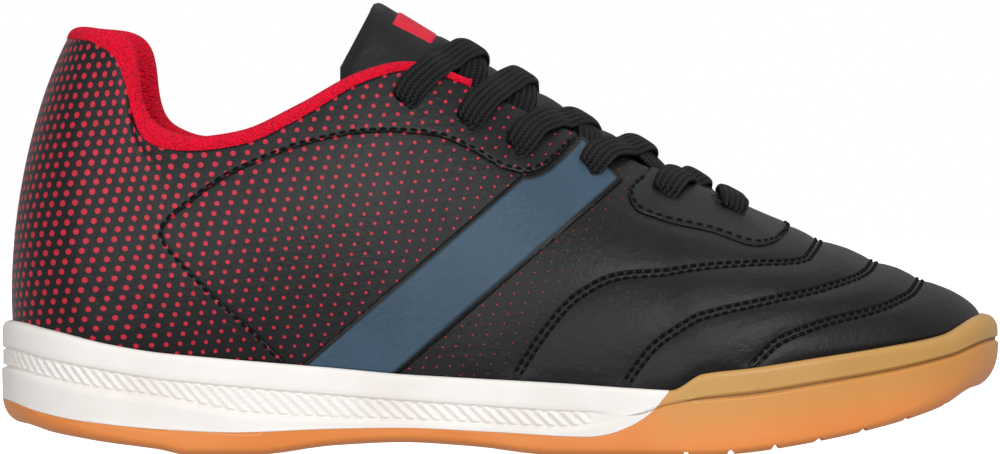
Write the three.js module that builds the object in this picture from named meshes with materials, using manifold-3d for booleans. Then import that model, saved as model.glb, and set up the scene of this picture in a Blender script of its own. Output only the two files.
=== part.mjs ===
// Low-cut indoor soccer shoe for the right foot, in millimetres.
// +X runs from heel to toe, +Y points to the inner (medial) side, +Z is up.
// The origin lies on the floor, under the middle of the shoe.
import * as THREE from "three";
import { mergeVertices } from "three/addons/utils/BufferGeometryUtils.js";
import Module from "manifold-3d";

const wasm = await Module();
wasm.setup();

// Driving sizes
const length = 214; // heel to toe of the sole
const ballWidth = 80; // widest place of the forefoot
const heelWidth = 60; // widest place of the heel
const waistWidth = 55; // narrowest place, at the arch
const rimHeight = 27.6; // top of the sidewall, at the heel
const backHeight = 88.4; // top of the upper, at the back of the heel
const collarWidth = 50; // widest place of the collar
const throatWidth = 27; // gap between the two rows of eyelets
const wall = 1.8; // upper
const overlayThickness = 0.6; // panels laid on the upper
const overlayGap = 0.4; // under them
const gap = 0.35; // between pieces that meet
const liningGap = 0.65; // between the upper and its padded lining
const insoleThickness = 3;
const insoleMargin = 0.8; // between insole and upper
const collarPadding = 6.2; // thickest place of the collar's padded lining
const collarRoll = 3.2; // height of the lining over the upper's edge
const liningDrop = 22; // how far the lining reaches down inside
const tongueThickness = 3;
const tongueFree = 16; // tongue above the top of the throat
const tonguePuff = 11.5; // height of the tongue's arch at the top of the throat
const tongueWing = 8; // tongue under each row of eyelets
const tongueSag = 4.6; // drop of the tongue's corners at its free end
const labelSize = { long: 11, wide: 15, thick: 0.7 }; // plain patch on the tongue
const labelFromTip = 6; // from the tongue's free end
const laceWidth = 6.4;
const laceThickness = 1.4;
const eyeletRadius = 2;
const grooveDepth = 1.2; // tread
const grooveWidth = 1.4;
const groovePitch = 9.7;
const ribHeight = 0.7; // slanted ribs in the sidewall's channel
const ribPitch = 2.9;
const bandWidth = 15; // slanting band on each side

// How finely the forms are cut into faces
const soleSteps = 36;
const insoleSteps = 26;
const ribRows = 8;

// Plan outline of the sole, seen from above: share of the length, and distance
// from the long axis as a share of the width that the row follows.
const lateralOutline = [
  { along: 0, across: 0, of: heelWidth },
  { along: 0.019, across: 0.258, of: heelWidth },
  { along: 0.079, across: 0.442, of: heelWidth },
  { along: 0.178, across: 0.5, of: heelWidth },
  { along: 0.29, across: 0.532, of: waistWidth },
  { along: 0.402, across: 0.532, of: waistWidth },
  { along: 0.514, across: 0.412, of: ballWidth },
  { along: 0.617, across: 0.475, of: ballWidth },
  { along: 0.701, across: 0.504, of: ballWidth },
  { along: 0.776, across: 0.491, of: ballWidth },
  { along: 0.85, across: 0.429, of: ballWidth },
  { along: 0.928, across: 0.316, of: ballWidth },
  { along: 0.977, across: 0.16, of: ballWidth },
];
const medialOutline = [
  { along: 1, across: 0.05, of: ballWidth },
  { along: 0.986, across: 0.222, of: ballWidth },
  { along: 0.951, across: 0.35, of: ballWidth },
  { along: 0.888, across: 0.435, of: ballWidth },
  { along: 0.804, across: 0.488, of: ballWidth },
  { along: 0.72, across: 0.496, of: ballWidth },
  { along: 0.626, across: 0.46, of: ballWidth },
  { along: 0.528, across: 0.388, of: ballWidth },
  { along: 0.43, across: 0.487, of: waistWidth },
  { along: 0.346, across: 0.471, of: waistWidth },
  { along: 0.262, across: 0.498, of: waistWidth },
  { along: 0.178, across: 0.493, of: heelWidth },
  { along: 0.079, across: 0.442, of: heelWidth },
  { along: 0.019, across: 0.258, of: heelWidth },
];

// Side of the sole, seen from the side: share of the length, then heights as
// shares of rimHeight. The channel is the ribbed band of the heel and the
// narrow groove of the toe. Its depth (recess) and the thickness of the lip that
// wraps the upper are in millimetres.
const soleSide = [
  { along: 0, bottom: 0.235, channelLow: 0.667, channelHigh: 0.819, rim: 1.03, floor: 0.49, recess: 1.3, lip: 2.6 },
  { along: 0.047, bottom: 0.13, channelLow: 0.591, channelHigh: 0.739, rim: 0.964, floor: 0.471, recess: 1.3, lip: 2.6 },
  { along: 0.103, bottom: 0.05, channelLow: 0.507, channelHigh: 0.659, rim: 0.866, floor: 0.457, recess: 1.3, lip: 2.6 },
  { along: 0.16, bottom: 0, channelLow: 0.449, channelHigh: 0.587, rim: 0.793, floor: 0.442, recess: 1.3, lip: 2.6 },
  { along: 0.25, bottom: 0, channelLow: 0.32, channelHigh: 0.52, rim: 0.73, floor: 0.435, recess: 1.3, lip: 2.6 },
  { along: 0.336, bottom: 0.076, channelLow: 0.283, channelHigh: 0.464, rim: 0.674, floor: 0.413, recess: 1.3, lip: 2.6 },
  { along: 0.402, bottom: 0.1, channelLow: 0.268, channelHigh: 0.424, rim: 0.627, floor: 0.384, recess: 1.3, lip: 2.6 },
  { along: 0.467, bottom: 0.072, channelLow: 0.246, channelHigh: 0.391, rim: 0.598, floor: 0.348, recess: 1.3, lip: 2.6 },
  { along: 0.56, bottom: 0, channelLow: 0.217, channelHigh: 0.348, rim: 0.56, floor: 0.29, recess: 1.1, lip: 2.6 },
  { along: 0.63, bottom: 0, channelLow: 0.29, channelHigh: 0.338, rim: 0.525, floor: 0.27, recess: 0, lip: 2.6 },
  { along: 0.668, bottom: 0, channelLow: 0.39, channelHigh: 0.42, rim: 0.511, floor: 0.27, recess: 0, lip: 2.7 },
  { along: 0.7, bottom: 0, channelLow: 0.428, channelHigh: 0.464, rim: 0.634, floor: 0.272, recess: 0.5, lip: 2.9 },
  { along: 0.748, bottom: 0.03, channelLow: 0.464, channelHigh: 0.5, rim: 0.678, floor: 0.301, recess: 1.2, lip: 3.1 },
  { along: 0.818, bottom: 0.11, channelLow: 0.547, channelHigh: 0.583, rim: 0.772, floor: 0.377, recess: 1.2, lip: 3.3 },
  { along: 0.888, bottom: 0.225, channelLow: 0.638, channelHigh: 0.674, rim: 0.866, floor: 0.493, recess: 1.2, lip: 3.5 },
  { along: 0.949, bottom: 0.355, channelLow: 0.743, channelHigh: 0.779, rim: 0.953, floor: 0.634, recess: 1.2, lip: 3.6 },
  { along: 1, bottom: 0.507, channelLow: 0.866, channelHigh: 0.902, rim: 1.08, floor: 0.779, recess: 1.2, lip: 3.7 },
];

// Rounding of the sole's lower edge and of its rim, inwards and in height
const edgeRounding = [
  { along: 0, underIn: 4.4, underUp: 5.4, overIn: 1.6, overDown: 1.9 },
  { along: 0.06, underIn: 3.6, underUp: 3, overIn: 1.1, overDown: 1.3 },
  { along: 0.16, underIn: 3, underUp: 1.8, overIn: 0.8, overDown: 1.1 },
  { along: 0.85, underIn: 3, underUp: 1.8, overIn: 0.9, overDown: 1.2 },
  { along: 0.93, underIn: 3.8, underUp: 4, overIn: 1.6, overDown: 2 },
  { along: 1, underIn: 5.6, underUp: 8, overIn: 3, overDown: 3.4 },
];

// Line that parts the pale midsole, above, from the rubber outsole: share of
// the length and share of rimHeight. It climbs through the rim at its end.
const partingLine = [
  { along: -0.05, height: 0.44 },
  { along: 0, height: 0.424 },
  { along: 0.037, height: 0.337 },
  { along: 0.08, height: 0.268 },
  { along: 0.168, height: 0.2 },
  { along: 0.234, height: 0.179 },
  { along: 0.336, height: 0.207 },
  { along: 0.398, height: 0.214 },
  { along: 0.501, height: 0.181 },
  { along: 0.585, height: 0.15 },
  { along: 0.604, height: 0.167 },
  { along: 0.629, height: 0.236 },
  { along: 0.65, height: 0.344 },
  { along: 0.66, height: 0.435 },
  { along: 0.667, height: 0.511 },
  { along: 0.674, height: 0.7 },
];

// Ribs of the upper, from the back of the heel round one side to the toe. Each
// starts at the sidewall's rim, at a share (at) of that side's perimeter, and
// ends at the mouth of the shoe. Mouth: share of the length, side as a share of
// half the width named, and height as a share of backHeight. The four handles
// bend the rib and are shares of backHeight: outwards and up at the rim, then
// outwards and up at the mouth.
const upperRibs = [
  { at: 0, x: 0.0682, side: 0, of: collarWidth, z: 1, rimOut: 0.014, rimUp: 0.204, mouthOut: 0.096, mouthUp: -0.187 },
  { at: 0.05, x: 0.0732, side: 0.34, of: collarWidth, z: 1.002, rimOut: 0.018, rimUp: 0.2, mouthOut: 0.096, mouthUp: -0.187 },
  { at: 0.1, x: 0.0871, side: 0.58, of: collarWidth, z: 0.998, rimOut: 0.029, rimUp: 0.19, mouthOut: 0.09, mouthUp: -0.19 },
  { at: 0.145, x: 0.113, side: 0.72, of: collarWidth, z: 0.974, rimOut: 0.05, rimUp: 0.18, mouthOut: 0.075, mouthUp: -0.19 },
  { at: 0.175, x: 0.1259, side: 0.81, of: collarWidth, z: 0.888, rimOut: 0.05, rimUp: 0.17, mouthOut: 0.065, mouthUp: -0.17 },
  { at: 0.19, x: 0.1334, side: 0.86, of: collarWidth, z: 0.802, rimOut: 0.05, rimUp: 0.165, mouthOut: 0.06, mouthUp: -0.165 },
  { at: 0.21, x: 0.1508, side: 0.91, of: collarWidth, z: 0.753, rimOut: 0.05, rimUp: 0.16, mouthOut: 0.055, mouthUp: -0.16 },
  { at: 0.24, x: 0.1916, side: 0.98, of: collarWidth, z: 0.731, rimOut: 0.05, rimUp: 0.16, mouthOut: 0.05, mouthUp: -0.16 },
  { at: 0.28, x: 0.2453, side: 1, of: collarWidth, z: 0.748, rimOut: 0.045, rimUp: 0.17, mouthOut: 0.055, mouthUp: -0.17 },
  { at: 0.33, x: 0.3069, side: 0.92, of: collarWidth, z: 0.818, rimOut: 0.04, rimUp: 0.19, mouthOut: 0.075, mouthUp: -0.19 },
  { at: 0.38, x: 0.3666, side: 0.79, of: collarWidth, z: 0.9, rimOut: 0.038, rimUp: 0.22, mouthOut: 0.09, mouthUp: -0.21 },
  { at: 0.415, x: 0.4093, side: 1.26, of: throatWidth, z: 0.926, rimOut: 0.038, rimUp: 0.25, mouthOut: 0.1, mouthUp: -0.2 },
  { at: 0.46, x: 0.469, side: 1.1, of: throatWidth, z: 0.885, rimOut: 0.036, rimUp: 0.26, mouthOut: 0.115, mouthUp: -0.15 },
  { at: 0.505, x: 0.5187, side: 0.98, of: throatWidth, z: 0.829, rimOut: 0.034, rimUp: 0.25, mouthOut: 0.13, mouthUp: -0.115 },
  { at: 0.555, x: 0.5724, side: 0.87, of: throatWidth, z: 0.772, rimOut: 0.03, rimUp: 0.235, mouthOut: 0.145, mouthUp: -0.085 },
  { at: 0.605, x: 0.6261, side: 0.76, of: throatWidth, z: 0.715, rimOut: 0.028, rimUp: 0.22, mouthOut: 0.155, mouthUp: -0.065 },
  { at: 0.66, x: 0.6798, side: 0.63, of: throatWidth, z: 0.66, rimOut: 0.024, rimUp: 0.19, mouthOut: 0.17, mouthUp: -0.05 },
  { at: 0.73, x: 0.7216, side: 0.47, of: throatWidth, z: 0.621, rimOut: 0.018, rimUp: 0.155, mouthOut: 0.205, mouthUp: -0.06 },
  { at: 0.8, x: 0.7415, side: 0.32, of: throatWidth, z: 0.598, rimOut: 0.008, rimUp: 0.108, mouthOut: 0.25, mouthUp: -0.092 },
  { at: 0.9, x: 0.7499, side: 0.15, of: throatWidth, z: 0.589, rimOut: -0.003, rimUp: 0.08, mouthOut: 0.31, mouthUp: -0.13 },
  { at: 1, x: 0.7524, side: -0.06, of: throatWidth, z: 0.586, rimOut: -0.006, rimUp: 0.068, mouthOut: 0.335, mouthUp: -0.142 },
];
const toeAside = 0.06 * throatWidth; // how far the throat's front lies to the inner side

// The inner side of the collar starts its rise this much closer to the toe, as
// a share of the length
const collarShift = [
  { at: 0, shift: 0 },
  { at: 0.1, shift: 0.004 },
  { at: 0.16, shift: 0.014 },
  { at: 0.21, shift: 0.012 },
  { at: 0.3, shift: 0 },
];

// Columns of faces round each side, closer together at the tight bends
const columns = [
  0, 0.04, 0.08, 0.115, 0.14, 0.158, 0.172, 0.184, 0.197, 0.212, 0.235, 0.27, 0.31, 0.35, 0.38, 0.405, 0.43, 0.46, 0.495,
  0.53, 0.565, 0.6, 0.635, 0.67, 0.705, 0.74, 0.78, 0.82, 0.86, 0.905, 0.95, 1,
];

// Padding of the collar's lining, as a share of collarPadding, and its roll over
// the edge, as a share of collarRoll, round one side
const padding = [
  { at: 0, share: 1, roll: 1 },
  { at: 0.08, share: 0.95, roll: 1 },
  { at: 0.15, share: 0.72, roll: 1 },
  { at: 0.2, share: 0.8, roll: 1 },
  { at: 0.3, share: 0.65, roll: 1 },
  { at: 0.4, share: 0.42, roll: 0.66 },
  { at: 0.48, share: 0.28, roll: 0.5 },
];
const liningEnd = 0.46; // where the lining stops, on the same scale

// Eyelets from the ankle to the toe: place on the same scale, and distance from
// the mouth as a share of the lace's width.
const eyelets = [
  { at: 0.412, below: 0.93 },
  { at: 0.461, below: 1.2 },
  { at: 0.506, below: 1.3 },
  { at: 0.574, below: 1.02 },
  { at: 0.642, below: 0.98 },
  { at: 0.716, below: 0.8 },
];

// Height of the tongue's arch along the throat, as a share of tonguePuff
const tongueArch = [
  { at: 0.4, share: 1 },
  { at: 0.46, share: 0.78 },
  { at: 0.52, share: 0.57 },
  { at: 0.58, share: 0.44 },
  { at: 0.66, share: 0.27 },
  { at: 0.74, share: 0.1 },
  { at: 0.86, share: 0 },
];

// Seam of the quarter panel, seen from the side: share of the length and share
// of backHeight. The panel is the side of it that holds the heel and the collar.
const quarterSeam = [
  { along: 0.3, height: 0.1 },
  { along: 0.285, height: 0.222 },
  { along: 0.26, height: 0.287 },
  { along: 0.218, height: 0.38 },
  { along: 0.186, height: 0.458 },
  { along: 0.168, height: 0.51 },
  { along: 0.163, height: 0.535 },
  { along: 0.168, height: 0.56 },
  { along: 0.186, height: 0.598 },
  { along: 0.218, height: 0.657 },
  { along: 0.266, height: 0.715 },
  { along: 0.314, height: 0.755 },
  { along: 0.363, height: 0.777 },
  { along: 0.411, height: 0.777 },
  { along: 0.443, height: 0.766 },
  { along: 0.475, height: 0.731 },
  { along: 0.508, height: 0.689 },
  { along: 0.528, height: 0.682 },
  { along: 0.542, height: 0.693 },
  { along: 0.556, height: 0.72 },
  { along: 0.572, height: 0.757 },
  { along: 0.6, height: 0.85 },
];

// Seam of the facing round the front eyelets, on the same scales
const facingSeam = [
  { along: 0.66, height: 0.72 },
  { along: 0.642, height: 0.672 },
  { along: 0.628, height: 0.64 },
  { along: 0.632, height: 0.604 },
  { along: 0.661, height: 0.57 },
  { along: 0.708, height: 0.543 },
  { along: 0.767, height: 0.511 },
  { along: 0.779, height: 0.524 },
  { along: 0.786, height: 0.557 },
  { along: 0.79, height: 0.65 },
];

// Middle line of the slanting band, from the sole up to the eyelets
const bandLine = [
  { along: 0.3, height: 0.1 },
  { along: 0.6, height: 0.73 },
];

// Tread grooves lie across the sole in these stretches of its length. Margin is
// the plain edge beside them, in millimetres; at the toe they cut through it.
const treadStretches = [
  { from: 0.09, to: 0.31, margin: 7 },
  { from: 0.501, to: 0.65, margin: 7 },
  { from: 0.683, to: 0.97, margin: -5 },
];

// Smooth curve through a table's column, with no overshoot between its rows
function columnOf(rows, key, by = "along") {
  const x = rows.map((row) => row[by]);
  const y = rows.map((row) => row[key]);
  const slope = x.slice(1).map((_, i) => (y[i + 1] - y[i]) / (x[i + 1] - x[i]));
  const tangent = x.map((_, i) => {
    const before = slope[i - 1];
    const after = slope[i];
    if (before === undefined || after === undefined) return 0;
    return before * after <= 0 ? 0 : (2 * before * after) / (before + after);
  });
  return (at) => {
    const place = Math.min(Math.max(at, x[0]), x[x.length - 1]);
    let i = 0;
    while (i < x.length - 2 && place > x[i + 1]) i += 1;
    const h = x[i + 1] - x[i];
    const t = (place - x[i]) / h;
    const s = 1 - t;
    return (
      y[i] * s * s * (1 + 2 * t) +
      y[i + 1] * t * t * (3 - 2 * t) +
      tangent[i] * h * t * s * s -
      tangent[i + 1] * h * t * t * s
    );
  };
}

// The sole's outline, measured round each side from the heel's back (0) to the
// toe (1). A round place c is that share, below zero on the lateral side.
function makeOutline() {
  const rows = [
    ...lateralOutline.map((row) => [row, -1]),
    ...medialOutline.map((row) => [row, 1]),
  ];
  const corners = rows.map(
    ([row, sign], i) =>
      new THREE.Vector3(row.along * length, (i === lateralOutline.length ? 1 : sign) * row.across * row.of, 0),
  );
  const curve = new THREE.CatmullRomCurve3(corners, true, "centripetal");
  const toe = lateralOutline.length / corners.length;
  const fine = 1200;
  const sideOf = (start, end) => {
    const points = [];
    const walked = [0];
    for (let i = 0; i <= fine; i += 1) {
      points.push(curve.getPoint((start + ((end - start) * i) / fine) % 1));
      if (i) walked.push(walked[i - 1] + points[i].distanceTo(points[i - 1]));
    }
    return { points, walked };
  };
  const sides = { lateral: sideOf(0, toe), medial: sideOf(1, toe) };
  return (c) => {
    const round = c > 1 ? c - 2 : c < -1 ? c + 2 : c;
    const { points, walked } = round < 0 ? sides.lateral : sides.medial;
    const goal = Math.abs(round) * walked[fine];
    let low = 0;
    let high = fine;
    while (high - low > 1) {
      const middle = (low + high) >> 1;
      if (walked[middle] > goal) high = middle;
      else low = middle;
    }
    const share = (goal - walked[low]) / (walked[high] - walked[low] || 1);
    return points[low].clone().lerp(points[high], share);
  };
}
const outline = makeOutline();

// Distance from the long axis to the outline on one side, at a place x
function halfWidth(x, sign) {
  let low = 0;
  let high = 1;
  while (high - low > 1e-4) {
    const middle = (low + high) / 2;
    if (outline(sign * middle).x < x) low = middle;
    else high = middle;
  }
  return sign * outline(sign * low).y;
}

// Point of the outline moved inwards, and the outward direction there
function planPoint(c, inset) {
  const step = 0.004;
  const along = outline(c + step).sub(outline(c - step));
  const out = new THREE.Vector3(-along.y, along.x, 0).normalize();
  return { point: outline(c).addScaledVector(out, -inset), out };
}

const side = {};
for (const key of ["bottom", "channelLow", "channelHigh", "rim", "floor"]) {
  const share = columnOf(soleSide, key);
  side[key] = (x) => share(x / length) * rimHeight;
}
for (const key of ["recess", "lip"]) {
  const depth = columnOf(soleSide, key);
  side[key] = (x) => depth(x / length);
}
for (const key of ["underIn", "underUp", "overIn", "overDown"]) {
  const reach = columnOf(edgeRounding, key);
  side[key] = (x) => reach(x / length);
}
const lipAt = (c) => side.lip(outline(c).x);

// Solid from a closed surface
function solid(geometry) {
  const bare = geometry.index ? geometry.toNonIndexed() : geometry.clone();
  bare.deleteAttribute("normal");
  bare.deleteAttribute("uv");
  const merged = mergeVertices(bare, 1e-4);
  const triVerts = new Uint32Array(merged.index.array);
  const make = () =>
    new wasm.Manifold(new wasm.Mesh({ numProp: 3, vertProperties: merged.attributes.position.array, triVerts }));
  const made = make();
  if (made.volume() >= 0) return made;
  for (let i = 0; i < triVerts.length; i += 3) {
    [triVerts[i + 1], triVerts[i + 2]] = [triVerts[i + 2], triVerts[i + 1]];
  }
  return make();
}

// Closed surface through a row of closed polygons with equally many corners. It
// closes on itself (ring), or its ends are covered, or are folded flat already.
function loft(sections, ends = "cover") {
  const corners = sections[0].length;
  const place = [];
  const put = (a, b, c) => {
    if (a.distanceTo(b) < 1e-4 || b.distanceTo(c) < 1e-4 || c.distanceTo(a) < 1e-4) return;
    place.push(...a.toArray(), ...b.toArray(), ...c.toArray());
  };
  const last = ends === "ring" ? sections.length : sections.length - 1;
  for (let i = 0; i < last; i += 1) {
    const here = sections[i];
    const next = sections[(i + 1) % sections.length];
    for (let j = 0; j < corners; j += 1) {
      const k = (j + 1) % corners;
      put(here[j], next[j], next[k]);
      put(here[j], next[k], here[k]);
    }
  }
  const covers = { cover, strip }[ends];
  if (covers) {
    covers(sections[0]).forEach(([a, b, c]) => put(a, b, c));
    covers(sections[sections.length - 1]).forEach(([a, b, c]) => put(c, b, a));
  }
  return new THREE.BufferGeometry().setAttribute("position", new THREE.Float32BufferAttribute(place, 3));
}

// Triangles across a nearly flat polygon
function cover(polygon) {
  const normal = new THREE.Vector3();
  polygon.forEach((p, i) => normal.add(p.clone().cross(polygon[(i + 1) % polygon.length])));
  normal.normalize();
  const across = polygon[0].clone().sub(polygon[Math.floor(polygon.length / 2)]);
  const first = across.addScaledVector(normal, -across.dot(normal)).normalize();
  const second = normal.clone().cross(first);
  const flat = polygon.map((p) => new THREE.Vector2(p.dot(first), p.dot(second)));
  return THREE.ShapeUtils.triangulateShape(flat, []).map((face) => face.map((i) => polygon[i]));
}

// Straight prism along Y with a polygon drawn in the side view
function sidePrism(corners, fromY, toY) {
  const shape = new THREE.Shape(corners.map(([x, z]) => new THREE.Vector2(x, z)));
  const geometry = new THREE.ExtrudeGeometry(shape, { depth: toY - fromY, bevelEnabled: false });
  return solid(geometry.rotateX(Math.PI / 2).translate(0, toY, 0));
}

const placeInSideView = (row) => [row.along * length, row.height * backHeight];
const beyond = 2 * length; // reach of a cutter that passes right through

// The sole's cup, from heel to toe: bottom, side with its channel, lip, floor
function soleCup() {
  const sections = [];
  for (let i = 0; i <= soleSteps; i += 1) {
    const rows = [-1, 1].map((sign) => {
      const c = (sign * i) / soleSteps;
      const x = outline(c).x;
      const at = (inset, z) => planPoint(c, inset).point.setZ(z);
      const bottom = side.bottom(x);
      const low = side.channelLow(x);
      const high = side.channelHigh(x);
      const rim = side.rim(x);
      const recess = side.recess(x);
      const [underIn, underUp, overIn, overDown] = [side.underIn(x), side.underUp(x), side.overIn(x), side.overDown(x)];
      const step = 0.35;
      return [
        at(underIn, bottom),
        at(0.45 * underIn, bottom + 0.17 * underUp),
        at(0.12 * underIn, bottom + 0.52 * underUp),
        at(0, low - step),
        at(recess, low + step),
        at(recess, high - step),
        at(0.15, high + step),
        at(0.15, rim - overDown),
        at(0.15 + 0.35 * overIn, rim - 0.25 * overDown),
        at(0.15 + overIn, rim),
        at(side.lip(x), rim),
        at(side.lip(x), side.floor(x)),
      ];
    });
    sections.push([...rows[0], ...rows[1].reverse()]);
  }
  return solid(loft(sections, "folded"));
}

// Slanted wedges that stand in the channel of the pale sidewall
function ribWedges() {
  const perimeter = [-1, 1].map((sign) => {
    let walked = 0;
    for (let i = 0; i < 200; i += 1) walked += outline((sign * i) / 200).distanceTo(outline((sign * (i + 1)) / 200));
    return walked;
  });
  const wedges = [];
  perimeter.forEach((long, n) => {
    const sign = n ? 1 : -1;
    const lastRib = 0.575; // share of the side where the ribs stop
    const count = Math.floor((long * lastRib) / ribPitch);
    for (let i = 0; i < count; i += 1) {
      const c = (sign * (i + 0.5) * ribPitch) / long;
      const x = outline(c).x;
      const low = side.channelLow(x) + 0.3;
      const high = side.channelHigh(x) - 0.3;
      const lean = (0.45 * (high - low)) / long; // the ribs lean towards the heel as they rise
      const wide = (0.36 * ribPitch) / long;
      const section = (share) => {
        const middle = c - sign * (share - 0.5) * 2 * lean;
        const z = low + share * (high - low);
        const depth = side.recess(x);
        const root = depth + 0.5;
        return [
          planPoint(middle - wide, root).point.setZ(z),
          planPoint(middle, depth - ribHeight).point.setZ(z),
          planPoint(middle + wide, root).point.setZ(z),
        ];
      };
      wedges.push(solid(loft([section(0), section(1)])));
    }
  });
  return wedges;
}

// Grooves across the tread
function treadCutter() {
  let cutter = null;
  for (const { from, to, margin } of treadStretches) {
    const count = Math.floor(((to - from) * length) / groovePitch);
    for (let i = 0; i <= count; i += 1) {
      const x = from * length + i * groovePitch;
      const [lateral, medial] = [-1, 1].map((sign) => sign * (halfWidth(x, sign) - margin));
      const box = new THREE.BoxGeometry(grooveWidth, medial - lateral, rimHeight);
      const slope = Math.atan2(side.bottom(x + 2) - side.bottom(x - 2), 4);
      box.translate(0, (medial + lateral) / 2, -rimHeight / 2).rotateY(-slope);
      const piece = solid(box.translate(x, 0, side.bottom(x) + grooveDepth));
      cutter = cutter ? cutter.add(piece) : piece;
    }
  }
  return cutter;
}

// The parting line as a side view, lifted by half the gap or lowered by it
function partingPolygon(shift) {
  const line = partingLine.map((row) => [row.along * length, row.height * rimHeight]);
  const moved = line.map(([x, z], i) => {
    const before = line[Math.max(i - 1, 0)];
    const after = line[Math.min(i + 1, line.length - 1)];
    const run = Math.hypot(after[0] - before[0], after[1] - before[1]);
    return [x - (shift * (after[1] - before[1])) / run, z + (shift * (after[0] - before[0])) / run];
  });
  return [...moved, [moved[moved.length - 1][0], 2 * backHeight], [-beyond, 2 * backHeight], [-beyond, moved[0][1]]];
}

// Table of the upper's ribs, as one loop from the toe round the lateral side,
// the heel and the medial side back to the toe
function makeRibLoop() {
  const shift = columnOf(collarShift, "shift", "at");
  const mouth = (row, sign) => ({
    c: sign * row.at,
    x: (row.x + (sign > 0 ? shift(row.at) : 0)) * length,
    y: row.at === 1 ? toeAside : (sign * row.side * row.of) / 2 + toeAside * row.at,
    z: row.z * backHeight,
    rimOut: row.rimOut * backHeight,
    rimUp: row.rimUp * backHeight,
    mouthOut: row.mouthOut * backHeight,
    mouthUp: row.mouthUp * backHeight,
  });
  const lateral = upperRibs.map((row) => mouth(row, -1)).reverse();
  const loop = [...lateral, ...upperRibs.slice(1).map((row) => mouth(row, 1))];
  const before = loop.slice(-3, -1).map((row) => ({ ...row, c: row.c - 2 }));
  const after = loop.slice(1, 3).map((row) => ({ ...row, c: row.c + 2 }));
  return [...before, ...loop, ...after];
}
const ribLoop = makeRibLoop();
const rib = {};
for (const key of ["x", "y", "z", "rimOut", "rimUp", "mouthOut", "mouthUp"]) {
  rib[key] = columnOf(ribLoop, key, "c");
}

// Outer face of the upper: c says where round the shoe, v runs from the rim (0)
// to the mouth (1)
function upperFace(c, v) {
  const { point, out } = planPoint(c, lipAt(c) + gap);
  const foot = point.setZ(side.rim(point.x));
  const mouth = new THREE.Vector3(rib.x(c), rib.y(c), rib.z(c));
  const nearFoot = foot.clone().addScaledVector(out, rib.rimOut(c)).setZ(foot.z + rib.rimUp(c));
  const nearMouth = mouth.clone().addScaledVector(out, rib.mouthOut(c)).setZ(mouth.z + rib.mouthUp(c));
  return new THREE.CubicBezierCurve3(foot, nearFoot, nearMouth, mouth).getPoint(v);
}

// Place on the upper, sunk by depth below its outer face, with its directions
function upperPlace(c, v, depth = 0) {
  const stepC = 0.006;
  const stepV = 0.01;
  const here = upperFace(c, v);
  const round = upperFace(c + stepC, v).sub(upperFace(c - stepC, v));
  const up = upperFace(c, Math.min(v + stepV, 1)).sub(upperFace(c, Math.max(v - stepV, 0))).normalize();
  const out = up.clone().cross(round).normalize();
  return { point: here.addScaledVector(out, -depth), out, up };
}

// The same, with a distance down from the mouth in place of v. A distance
// below zero lies above the mouth, square to its edge.
function fromMouth(c, distance, depth = 0) {
  if (distance <= 0) {
    const edge = upperPlace(c, 1, depth);
    const way = upperFace(c + 0.01, 1).sub(upperFace(c - 0.01, 1));
    const above = way.cross(edge.out).normalize();
    edge.point.addScaledVector(above, -distance * Math.sign(above.dot(edge.up)));
    return edge;
  }
  const steps = 40;
  let walked = 0;
  let last = upperFace(c, 1);
  for (let i = steps - 1; i >= 0; i -= 1) {
    const next = upperFace(c, i / steps);
    const stride = next.distanceTo(last);
    if (walked + stride >= distance) {
      return upperPlace(c, (i + 1 - (distance - walked) / stride) / steps, depth);
    }
    walked += stride;
    last = next;
  }
  return upperPlace(c, 0, depth);
}

const roundPlaces = [...columns.map((c) => -c).reverse(), ...columns.slice(1, -1)];

// Shell that follows the upper between two depths. Its foot stands on the
// sole's floor, or starts a little above the rim.
function upperShell(outerDepth, innerDepth, foot) {
  const sections = [];
  for (const c of roundPlaces) {
    const footZ = side.floor(outline(c).x) + gap;
    const line = (depth) => {
      const column = [];
      if (foot === "floor") {
        const low = planPoint(c, lipAt(c) + gap + depth).point;
        column.push(low.clone().setZ(footZ));
      }
      for (let j = 0; j <= ribRows; j += 1) {
        const start = foot === "floor" ? 0 : 0.02;
        column.push(upperPlace(c, Math.max(start, j / ribRows), depth).point);
      }
      return column;
    };
    sections.push([...line(outerDepth), ...line(innerDepth).reverse()]);
  }
  return solid(loft(sections, "ring"));
}

// Round hole through the upper's wall at each eyelet
function eyeletCutter() {
  let cutter = null;
  for (const { at, below } of eyelets) {
    for (const c of [-at, at]) {
      const { point, out } = fromMouth(c, below * laceWidth);
      const hole = new THREE.CylinderGeometry(eyeletRadius, eyeletRadius, 12, 6);
      const turn = new THREE.Quaternion().setFromUnitVectors(new THREE.Vector3(0, 1, 0), out);
      const piece = solid(hole.applyQuaternion(turn).translate(point.x, point.y, point.z));
      cutter = cutter ? cutter.add(piece) : piece;
    }
  }
  return cutter;
}

// Padded lining of the collar: it hooks over the upper's edge and lies inside it
const paddingShare = columnOf(padding, "share", "at");
const liningThickness = (c) => paddingShare(Math.abs(c)) * collarPadding;
const rollShare = columnOf(padding, "roll", "at");
function collarLining() {
  const sections = [];
  for (const c of roundPlaces.filter((place) => Math.abs(place) <= liningEnd)) {
    const thick = liningThickness(c);
    const inner = wall + liningGap;
    const drop = liningDrop * Math.min(1, 0.25 + 1.1 * paddingShare(Math.abs(c)));
    const roll = rollShare(Math.abs(c)) * collarRoll;
    const profile = [
      [-0.5 * roll, -0.4],
      [-roll, 0.35 * inner],
      [-roll, inner],
      [-0.7 * roll, inner + 0.7 * thick],
      [0.12 * drop, inner + thick],
      [0.4 * drop, inner + thick],
      [0.75 * drop, inner + 0.6 * thick],
      [drop, inner + 0.2 * thick + 0.3],
      [drop, inner],
      [0.6 * drop, inner],
      [0.25 * drop, inner],
      [-liningGap, inner],
      [-liningGap, 0],
    ];
    sections.push(profile.map(([distance, depth]) => fromMouth(c, distance, depth).point));
  }
  return solid(loft(sections));
}

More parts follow.
